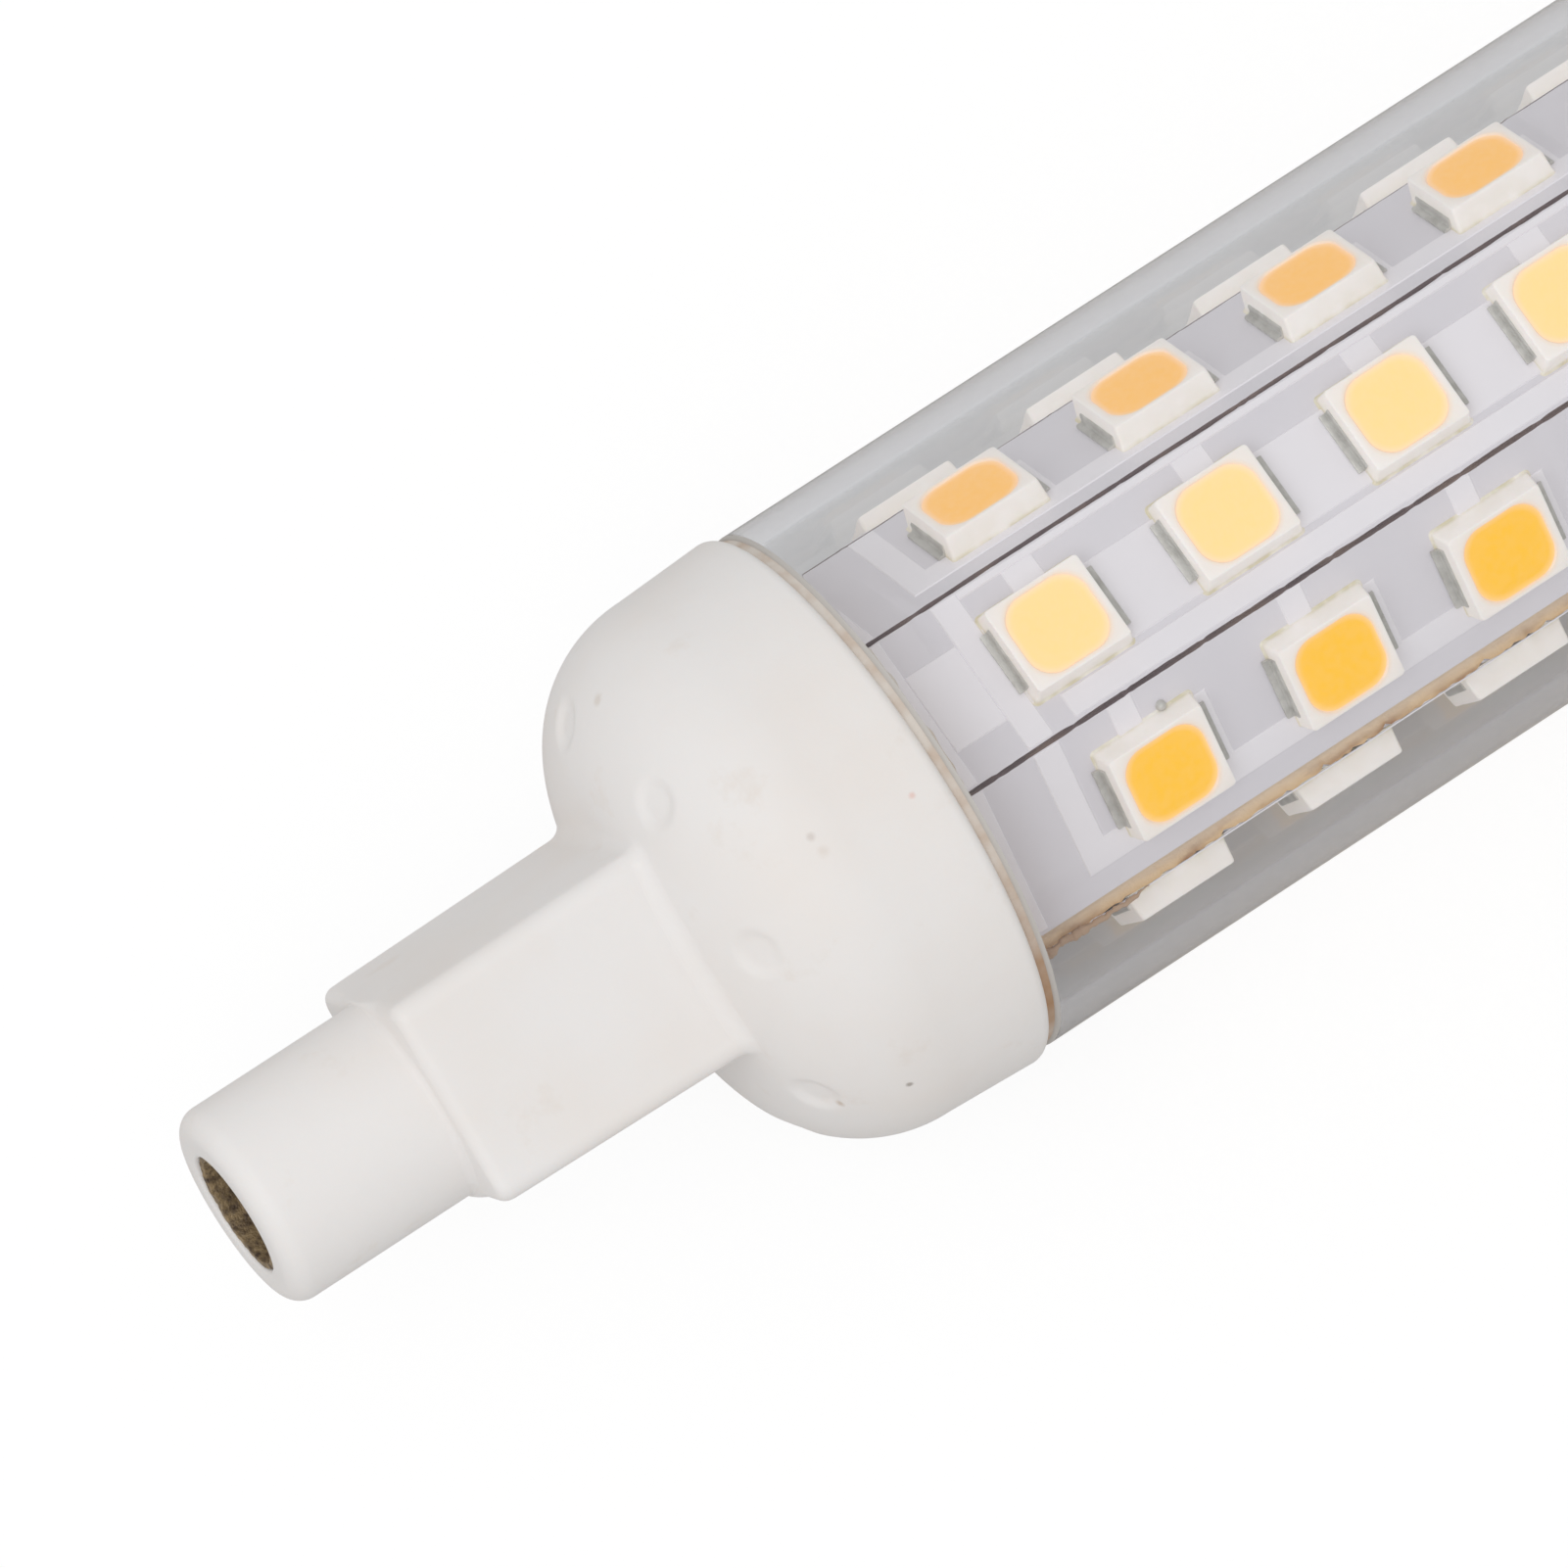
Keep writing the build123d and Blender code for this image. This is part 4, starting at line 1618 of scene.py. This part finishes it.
@dataclass
class CementRing:
    """Bead of cement between a cap, the glass and the end of the board."""

    end: End
    cage: FoldedCage
    segments: int = 180
    bore: float = 5.45
    rim_gap: float = 0.12
    glass_gap: float = 0.1
    wall_gap: float = 0.03
    bed_gap: float = 0.02
    depth: float = 0.6
    # Distances of the two rounding steps from the ring's end, and how far each lies inside the wall
    shoulder: tuple[float, float] = (0.15, 0.03)
    drop: tuple[float, float] = (0.12, 0.5)
    wave_height: float = 0.09
    wave_rows: tuple[int, int] = (4, 6)
    wave_radius: float = 8.0
    seam_angle: float = 74.0
    brown_spread: float = 32.0
    brown_share: float = 0.7
    brown_change: float = 0.4

    def section(self) -> list[tuple[float, float]]:
        """Section of the ring as x and radius: thin under the glass, thicker inside it."""
        s = self.cage.sizes
        face, end = s.rim_face, s.rim_face + self.depth
        wall = s.glass_inner_radius - self.wall_gap
        bed = face + s.joint_gap + self.bed_gap
        wide, narrow = self.shoulder
        shallow, deep = self.drop
        return [
            (face, self.bore), (face, s.glass_outer_radius - self.rim_gap),
            (bed, s.glass_outer_radius - self.glass_gap), (bed, wall), (end - wide, wall),
            (end - narrow, wall - shallow), (end, wall - deep), (end, self.bore),
        ]

    def build(self, material: bpy.types.Material) -> None:
        """Turns the section about the axis, lets its edge wander and browns it near the seam.

        At angle a from the seam the brown share is exp(-(a / spread)^2) times a little of the wave.

        Args:
            material: The cement.
        """
        profile = self.section()
        points, faces = lathe(profile, self.segments)
        points = points.reshape(-1, self.segments, 3)
        turn = round_angles(self.segments)
        waver = Waver(7, 10, self.wave_radius * 2 * math.pi / 3)
        wave = waver.at(turn * self.wave_radius, 0 if self.end is End.LEFT else 1)
        first, past = self.wave_rows
        points[first:past, :, 0] += self.wave_height * wave
        points, faces = self.end.from_left(points.reshape(-1, 3), faces)
        direction = np.degrees(turn) - 90
        from_seam = (direction - self.seam_angle + 180) % 360 - 180
        near = np.exp(-((from_seam / self.brown_spread) ** 2))
        brown = np.clip(near * (self.brown_share + self.brown_change * wave), 0, 1)
        made = Surface()
        made.add(points, faces, 0, np.tile(brown, len(profile) + 1))
        piece = made.build(f"{self.end.word}_cement", [material], 50)
        dress(piece, "cement", f"{self.end.word}_adhesive_ring")


@dataclass
class ContactCup:
    """Worn metal cup in the nose, with an uneven lip."""

    end: End
    sizes: LampSizes = SIZES
    segments: int = 96
    set_back: float = 0.08
    lip_edge: float = 0.02
    lip_length: float = 0.1
    lip_rows: tuple[float, float] = (0.4, 0.12)
    floor_round: tuple[float, float] = (0.35, 0.4)
    tip_radius: float = 0.01
    wear_depth: float = 0.10
    wear_inward: float = 0.04
    wear_rows: tuple[tuple[int, float, bool], ...] = (
        (0, 1.0, True), (1, 0.5, False), (11, 0.8, True), (10, 0.4, True)
    )
    wave_radius: float = 4.0

    def section(self) -> list[tuple[float, float]]:
        """Section of the cup and its tail, as x and radius."""
        s = self.sizes
        mouth = s.nose_end + self.set_back
        outer = s.recess_radius - s.contact_fit
        inner = outer - s.contact_wall
        floor = s.nose_end + s.recess_depth - s.contact_floor
        back = floor + s.contact_floor
        tail = back + s.contact_tail_length
        along, across = self.floor_round
        deep, shallow = self.lip_rows
        return [
            (mouth, inner + self.lip_edge), (mouth, outer - self.lip_edge),
            (mouth + self.lip_length, outer), (back, outer), (back, s.contact_tail_radius),
            (tail, s.contact_tail_radius),
            (tail, self.tip_radius), (floor, self.tip_radius), (floor, inner - across),
            (floor - along, inner), (mouth + deep, inner), (mouth + shallow, inner),
        ]

    def build(self, material: bpy.types.Material) -> None:
        """Turns the section about the axis and wears the lip unevenly.

        Args:
            material: The tarnished metal.
        """
        points, faces = lathe(self.section(), self.segments)
        points = points.reshape(-1, self.segments, 3)
        turn = round_angles(self.segments)
        wave = Waver(21, 12, self.wave_radius * 2 * math.pi / 2).at(turn * self.wave_radius)
        for row, share, bent in self.wear_rows:
            points[row, :, 0] += self.wear_depth * np.abs(wave) * share
            bend = self.wear_inward * share * np.clip(wave, -1, 1) * bent
            points[row, :, 1:] *= (1 - bend)[:, None]
        points[-1] = points[0]
        made = Surface()
        made.add(*self.end.from_left(points.reshape(-1, 3), faces))
        piece = made.build(f"{self.end.word}_contact", [material], 35)
        dress(piece, "contact_metal", f"{self.end.word}_contact_cup")


@dataclass
class SectionLines:
    """Lines from the axis outwards, one for each direction, that grow step by step as x and r."""

    count: int
    rows: list[tuple[np.ndarray, np.ndarray]] = field(default_factory=list)

    def to(self, x: float | np.ndarray, r: float | np.ndarray) -> None:
        """Goes on to a point, the same for all lines or one for each."""
        one = np.ones(self.count)
        self.rows.append((x * one, r * one))

    def along_arc(
        self,
        centre: tuple[float | np.ndarray, float | np.ndarray],
        radius: float | np.ndarray,
        start: float,
        end: float | np.ndarray,
        steps: int,
    ) -> None:
        """Goes on along an arc: centre + radius (cos t, sin t).

        Args:
            centre: X and r of its middle.
            radius: Its radius.
            start: First angle in radians.
            end: Last angle in radians.
            steps: Points on it.
        """
        for share in np.linspace(0, 1, steps):
            turn = start + (end - start) * share
            self.to(centre[0] + radius * np.cos(turn), centre[1] + radius * np.sin(turn))

    def grid(self) -> np.ndarray:
        """All points as (steps, lines, 2)."""
        return np.array([[x, r] for x, r in self.rows]).transpose(0, 2, 1)


@dataclass
class CeramicCap:
    """Moulded steatite cap with soft corners and shallow dimples.

    Each direction round the axis has its own section line, so the turned nose and shoulder and the
    rectangular block are one skin: x and r are functions of the step along the line and of the angle.

    Attributes:
        end: Which end of the lamp.
        sizes: Sizes of the lamp.
        around: Section lines round the axis.
        corner: Rounding of the block's long edges.
        root: Hollow rounding where the block meets the shoulder.
        mouth_edge: Rounding of the recess's mouth.
        mouth_depth: Depth of the first row of points in the recess.
        nose_run: Where the plain part of the nose ends, before the block.
        ledge_hollow: Hollow rounding where the nose meets the block, at most.
        hollow_share: The same as a share of the ledge.
        ledge_bulge: Rounding of the block's front edge, at most.
        bulge_share: The same as a share of the ledge.
        spigot_gap: Gap between the skin's last row and the spigot's surface.
        dimple_depth: Depth of each dimple.
        dimple_radius: Radius of each dimple.
        dimple_slope: Share of the radius over which a dimple slopes down to its flat floor.
        dimple_ring: Radius of the ring of dimples.
        dimple_angles: Direction of each dimple, from straight up towards -Y.
    """

    end: End
    sizes: LampSizes = SIZES
    around: int = 400
    corner: float = 0.55
    root: float = 0.6
    mouth_edge: float = 0.12
    mouth_depth: float = 0.3
    nose_run: float = 0.35
    ledge_hollow: float = 0.3
    hollow_share: float = 0.3
    ledge_bulge: float = 0.42
    bulge_share: float = 0.7
    spigot_gap: float = 0.01
    dimple_depth: float = 0.16
    dimple_radius: float = 0.9
    dimple_slope: float = 0.55
    dimple_ring: float = 6.95
    dimple_angles: tuple[float, ...] = (-56.0, -9.7, 34.7, 83.4, 124.0, 167.0, 211.0, 255.0)

    def block_radius(self, angle: np.ndarray) -> np.ndarray:
        """Distance from the axis to the block's outline.

        With the direction (p, q) folded into the first quarter of the block's own axes, the ray meets a
        side at a / p or b / q, or else the corner circle of radius c about (a - c, b - c).

        Args:
            angle: Directions from straight up towards -Y, in radians.

        Returns:
            Distances in millimetres.
        """
        s = self.sizes
        a, b, c = s.block_width / 2, s.block_height / 2, self.corner
        turned = angle - math.radians(s.block_turn)
        p, q = np.abs(np.sin(turned)), np.abs(np.cos(turned))
        side, top = a / np.maximum(p, 1e-9), b / np.maximum(q, 1e-9)
        along = p * (a - c) + q * (b - c)
        arc_hit = along + np.sqrt(np.maximum(along**2 - (a - c) ** 2 - (b - c) ** 2 + c**2, 0))
        on_side, on_top = side * q <= b - c, top * p <= a - c
        return np.where(on_side, side, np.where(on_top, top, arc_hit))

    def add_nose(self, lines: SectionLines) -> None:
        """Wire bore, recess, rounded mouth and plain part of the nose.

        Args:
            lines: The section lines.
        """
        s, quarter = self.sizes, math.pi / 2
        floor, mouth = s.nose_end + s.recess_depth, s.nose_end
        lines.to(s.rim_face + s.spigot_length, s.wire_bore_radius)
        lines.to(floor, s.wire_bore_radius)
        lines.to(floor, s.recess_radius)
        lines.to(mouth + self.mouth_depth, s.recess_radius)
        lip = (mouth + self.mouth_edge, s.recess_radius + self.mouth_edge)
        lines.along_arc(lip, self.mouth_edge, -quarter, -2 * quarter, 5)
        edge = (mouth + s.nose_edge, s.nose_radius - s.nose_edge)
        lines.along_arc(edge, s.nose_edge, 2 * quarter, quarter, 14)
        start, end = mouth + s.nose_edge, s.block_face - self.nose_run
        for share in np.linspace(0.1, 0.9, 6):
            lines.to(start + (end - start) * share, s.nose_radius)

    def add_block(self, lines: SectionLines, block: np.ndarray) -> tuple[np.ndarray, np.ndarray]:
        """Ledge, rounded front edge and tapered sides of the block, and its rounded root on the shoulder.

        The root's arc touches the block's side and either the shoulder's flat middle or its curve, where
        the two radii add up to the distance between the centres.

        Args:
            lines: The section lines.
            block: Radius of the block's outline at its front face, one per line.

        Returns:
            Where the root's arc ends, as its middle's radius and its last angle.
        """
        s, quarter = self.sizes, math.pi / 2
        face, skirt, flat = s.block_face, s.skirt_start, s.flat_radius
        slope = math.tan(math.radians(s.block_draft))
        ledge = block - s.nose_radius
        hollow = np.minimum(self.ledge_hollow, self.hollow_share * ledge)
        bulge = np.minimum(self.ledge_bulge, self.bulge_share * ledge)
        lines.along_arc((face - hollow, s.nose_radius + hollow), hollow, -quarter, 0.0, 7)
        lines.along_arc((face + bulge, block - bulge), bulge, 2 * quarter, quarter, 9)
        high = block + slope * s.block_length + self.root
        reach = np.clip((s.shoulder_radius + self.root) ** 2 - np.maximum(high - flat, 0) ** 2, 0, None)
        meet = np.where(high <= flat, s.dome_face - self.root, skirt - np.sqrt(reach))
        for share in np.linspace(0.04, 1, 12):
            x = face + bulge + (meet - face - bulge) * share
            lines.to(x, block + slope * (x - face))
        base = block + slope * (meet - face) + self.root
        lean = np.where(base <= flat, 0.0, np.arctan2(flat - base, skirt - meet))
        lines.along_arc((meet, base), self.root, -quarter, lean, 12)
        return base, lean

    def add_shoulder(self, lines: SectionLines, base: np.ndarray, lean: np.ndarray) -> None:
        """Shoulder from the root's end to the skirt, at even steps of the way along its outline.

        Args:
            lines: The section lines.
            base: Radius of the middle of the root's arc.
            lean: Last angle of the root's arc.
        """
        s = self.sizes
        skirt, flat, bend = s.skirt_start, s.flat_radius, s.shoulder_radius
        landed = np.where(base <= flat, base - flat, bend * -lean)
        whole = bend * math.pi / 2
        for share in np.linspace(0.02, 1, 64):
            way = landed + (whole - landed) * share
            turn = np.maximum(way, 0) / bend
            x = np.where(way < 0, s.dome_face, skirt - bend * np.cos(turn))
            lines.to(x, np.where(way < 0, flat + way, flat + bend * np.sin(turn)))

    def add_skirt(self, lines: SectionLines) -> None:
        """Slightly flared skirt, rounded rim and rim face.

        Args:
            lines: The section lines.
        """
        s = self.sizes
        for share in (0.2, 0.5, 0.8):
            x = s.skirt_start + (s.skirt_length - s.rim_edge) * share
            lines.to(x, s.rim_radius - s.skirt_flare * (1 - share))
        end = s.skirt_start + s.skirt_length
        lines.along_arc((end - s.rim_edge, s.rim_radius - s.rim_edge), s.rim_edge, math.pi / 2, 0.0, 8)
        lines.to(end, s.spigot_radius - self.spigot_gap)

    def dent(self, points: np.ndarray) -> np.ndarray:
        """Presses the dimples into the shoulder.

        At distance u from a centre the depth is d inside 0.45 R and falls to 0 at R as 3 v^2 - 2 v^3,
        with v = (R - u) / (0.55 R).

        Args:
            points: (steps, lines, 3) points of the skin.

        Returns:
            The points with the dimples.
        """
        s = self.sizes
        skirt = s.rim_face - s.skirt_length
        rise = self.dimple_ring - s.flat_radius
        x = skirt - math.sqrt(s.shoulder_radius**2 - rise**2)
        for angle in self.dimple_angles:
            outward = FoldedCage.outward(angle)
            centre = np.array([x, *(outward * self.dimple_ring)])
            away = np.linalg.norm(points - centre, axis=-1)
            v = np.clip((1 - away / self.dimple_radius) / self.dimple_slope, 0, 1)
            press = v * v * (3 - 2 * v)
            inward = np.array([skirt, *(outward * s.flat_radius)]) - centre
            points = points + press[..., None] * self.dimple_depth * inward / np.linalg.norm(inward)
        return points

    def spigot(self) -> tuple[np.ndarray, np.ndarray]:
        """Faces of the CAD cap inside the folded board: the spigot with its slot.

        Returns:
            Points and faces, in millimetres.
        """
        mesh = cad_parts[f"{self.end.word}_end_cap"].data
        mesh.calc_loop_triangles()
        points = np.array([v.co for v in mesh.vertices]) / MM
        faces = np.array([t.vertices for t in mesh.loop_triangles])
        depth = np.abs(points[:, 0])[faces]
        radius = np.hypot(points[:, 1], points[:, 2])[faces]
        rim = -self.sizes.rim_face
        keep = (depth.max(1) < rim + 1e-3) & (depth.min(1) < rim - 1e-3)
        keep &= radius.max(1) > self.sizes.wire_bore_radius + 0.05
        faces = faces[keep]
        used, numbers = np.unique(faces, return_inverse=True)
        faces = numbers.reshape(-1, 3)
        return points[used], np.column_stack([faces, faces[:, 2]])

    def build(self, material: bpy.types.Material) -> None:
        """Makes the cap's skin and adds the CAD spigot.

        Args:
            material: The ceramic.
        """
        angle = round_angles(self.around)
        lines = SectionLines(self.around)
        self.add_nose(lines)
        base, lean = self.add_block(lines, self.block_radius(angle))
        self.add_shoulder(lines, base, lean)
        self.add_skirt(lines)
        section = lines.grid()
        y = -section[..., 1] * np.sin(angle)
        z = section[..., 1] * np.cos(angle)
        points = self.dent(np.stack([section[..., 0], y, z], -1)).reshape(-1, 3)
        made = Surface()
        made.add(*self.end.from_left(points, ring_faces(len(section), self.around)))
        made.add(*self.spigot())
        dress(made.build(f"{self.end.word}_cap", [material], 32), "ceramic", f"{self.end.word}_end_cap")


@dataclass
class DriverParts:
    """Hidden driver inside the folded board, which keeps its CAD shapes."""

    def build(self, tin: bpy.types.Material) -> None:
        """Gives each piece of the driver its material.

        Args:
            tin: Material of the lead wires.
        """
        copper, black = COPPER.material(), BLACK_MOULD.material()
        looks = {
            "driver_board": DRIVER_BOARD.material(),
            "bridge_rectifier": black,
            "driver_chip": black,
            "smoothing_capacitor": SLEEVE.material(),
            "fuse_resistor": LACQUER.material(),
            "choke_core": FERRITE.material(),
            "choke_winding": copper,
            "led_feed_wires": copper,
            "left_lead_wire": tin,
            "right_lead_wire": tin,
        }
        for name, look in looks.items():
            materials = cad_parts[name].data.materials
            materials.clear()
            materials.append(look)
            log.info("%s: painted with %s", name, look.name)


# Studio


@dataclass
class Studio:
    """Pale floor, one large soft light, white surroundings and a long lens."""

    sizes: LampSizes = SIZES
    azimuth: float = -35.16
    elevation: float = 67.2
    lens: float = 400.0
    sensor: float = 36.0
    frame_width: float = 45.74
    aim: tuple[float, float, float] = (-38.34, 1.69, 0.58)
    floor_gap: float = 0.25
    floor_half: float = 3000.0
    floor_white: str = "#FAFAFA"
    floor_bounce: str = "#D0CFCE"
    # painted shade: grey of the table seen through the glass, for the lamp's shadow under it, darker at
    # the front
    floor_front: str = "#B8B7B9"
    floor_back: str = "#DEDEE1"
    grade_half: float = 12.0
    floor_glow: float = 1.03
    glow_share: float = 0.86
    world_light: float = 0.72
    key_spot: tuple[float, float, float] = (-420.0, -230.0, 650.0)
    key_size: float = 560.0
    key_power: float = 1.6
    clip: tuple[float, float] = (0.01, 50.0)
    bounces: tuple[int, int] = (12, 10)

    def floor_material(self) -> bpy.types.Material:
        """Pale table: white to the camera, with the lamp's soft shadow kept.

        It is greyer as a reflector. Through the glass it is painted shade: a grey that stands for the
        lamp's shadow on the table, a little darker towards the front.

        Returns:
            The material.
        """
        n = Nodes("studio_floor")
        path = n.add("ShaderNodeLightPath").outputs
        plain = n.add("ShaderNodeBsdfDiffuse", {"Color": rgba(self.floor_white)}).outputs[0]
        bounce = n.add("ShaderNodeBsdfDiffuse", {"Color": rgba(self.floor_bounce)}).outputs[0]
        light = {"Color": (1, 1, 1, 1), "Strength": self.floor_glow}
        glow = n.add("ShaderNodeEmission", light).outputs[0]
        seen = n.add("ShaderNodeMixShader", {0: self.glow_share, 1: plain, 2: glow}).outputs[0]
        # painted shade for rays through the glass: grey, graded across Y from front to back
        across = n.add("ShaderNodeSeparateXYZ", {0: n.where}).outputs["Y"]
        half = self.grade_half * MM
        share = n.ramp(across, (-half, half))
        painted_shade_grade = n.mix(share, rgba(self.floor_front), rgba(self.floor_back))
        dim = n.add("ShaderNodeBsdfDiffuse", {"Color": painted_shade_grade}).outputs[0]
        rays = {0: path["Is Transmission Ray"], 1: bounce, 2: dim}
        through = n.add("ShaderNodeMixShader", rays).outputs[0]
        return n.surface(n.add("ShaderNodeMixShader", {0: path["Is Camera Ray"], 1: through, 2: seen}))

    def floor(self) -> None:
        """Lays the table under the lamp."""
        level = -(self.sizes.glass_outer_radius + self.floor_gap)
        half = self.floor_half
        corners = [(-half, -half, level), (half, -half, level), (half, half, level), (-half, half, level)]
        made = Surface()
        made.add(np.array(corners), np.array([[0, 1, 2, 3]]))
        made.build("floor", [self.floor_material()])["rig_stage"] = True

    def world(self) -> None:
        """White surroundings for the camera and the reflections, softer as a light source."""
        world = bpy.data.worlds.new("studio")
        world.use_nodes = True
        bpy.context.scene.world = world
        tree = world.node_tree
        back = tree.nodes["Background"]
        back.inputs["Color"].default_value = (1, 1, 1, 1)
        path = tree.nodes.new("ShaderNodeLightPath")
        reach = tree.nodes.new("ShaderNodeMapRange")
        reach.inputs["To Min"].default_value = self.world_light
        reach.inputs["To Max"].default_value = 1.0
        tree.links.new(path.outputs["Is Camera Ray"], reach.inputs["Value"])
        tree.links.new(reach.outputs["Result"], back.inputs["Strength"])

    def key(self) -> None:
        """Square soft light aimed at the origin, hidden from the camera."""
        data = bpy.data.lights.new("key", "AREA")
        data.shape = "SQUARE"
        data.size = self.key_size * MM
        data.energy = self.key_power
        made = bpy.data.objects.new("key", data)
        bpy.context.scene.collection.objects.link(made)
        made.location = Vector(self.key_spot) * MM
        made.rotation_mode = "QUATERNION"
        made.rotation_quaternion = (-Vector(self.key_spot)).to_track_quat("-Z", "Y")
        made.visible_camera = False
        made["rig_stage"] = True

    def camera(self) -> None:
        """Long lens looking down along the lamp from its left front.

        It stands where the picture is frame_width wide at the aim: at frame_width times lens / sensor.
        """
        a, e = math.radians(self.azimuth), math.radians(self.elevation)
        back = Vector((math.sin(a) * math.cos(e), -math.cos(a) * math.cos(e), math.sin(e)))
        data = bpy.data.cameras.new("camera")
        data.lens = self.lens
        data.sensor_width = self.sensor
        distance = self.frame_width * self.lens / self.sensor
        data.clip_start, data.clip_end = self.clip
        made = bpy.data.objects.new("camera", data)
        bpy.context.scene.collection.objects.link(made)
        made.location = (Vector(self.aim) + back * distance) * MM
        made.rotation_mode = "QUATERNION"
        made.rotation_quaternion = (-back).to_track_quat("-Z", "Y")
        bpy.context.scene.camera = made

    def build(self) -> None:
        """Sets up floor, world, light, camera and colour handling."""
        self.floor()
        self.world()
        self.key()
        self.camera()
        scene = bpy.context.scene
        scene.view_settings.view_transform = "Standard"
        scene.render.engine = "CYCLES"
        scene.cycles.max_bounces, scene.cycles.transmission_bounces = self.bounces
        scene.cycles.transparent_max_bounces = self.bounces[0]
        scene.cycles.caustics_refractive = False
        scene.cycles.caustics_reflective = False


# Assembly


class LampScene:
    """Dresses the lamp and sets it in the studio."""

    def __init__(self) -> None:
        """Notes the object's box before anything is made."""
        self.cage = FoldedCage()
        self.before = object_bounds()

    def build_lamp(self) -> None:
        """Makes every shown piece of the lamp."""
        tin, cement, brass = TIN.material(), CEMENT.material(), BRASS.material()
        board = FoldedBoard(self.cage)
        looks = [MASK.material(), CRACK.material(), LAMINATE.material()]
        dress(board.sheet().build("folded_board", looks, 30), "board_white", "led_board")
        dress(board.tracks().build("board_tracks", [TRACK.material()], 20), "board_white")
        LedStrips(self.cage).build(RESIN.material(), tin)
        BoardSpecks(self.cage).build(tin, cement)
        ceramic = Steatite().material()
        for end in End:
            CeramicCap(end).build(ceramic)
            CementRing(end, self.cage).build(cement)
            ContactCup(end).build(brass)
        DriverParts().build(tin)
        GlassSleeve().build(TubeGlass().material(), GROUND.material())

    def check_places(self) -> None:
        """Compares the made pieces with the CAD nodes they stand for."""
        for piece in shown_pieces():
            for node in piece.get("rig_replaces", []):
                low, high = (np.array(corner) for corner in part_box(node))
                own = np.array([v.co for v in piece.data.vertices])
                gap = max(np.abs(own.min(0) - low).max(), np.abs(own.max(0) - high).max())
                if gap > PLACE_LIMIT * MM:
                    log.warning("%s differs from %s by %.2f mm", piece.name, node, gap / MM)

    def write_sizes(self) -> None:
        """Updates the view layer at the end."""
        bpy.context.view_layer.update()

    def run(self) -> None:
        """Builds everything."""
        self.build_lamp()
        self.check_places()
        Studio().build()
        self.write_sizes()


def main() -> None:
    """Builds the picture."""
    LampScene().run()


if __name__ == "__main__":
    main()
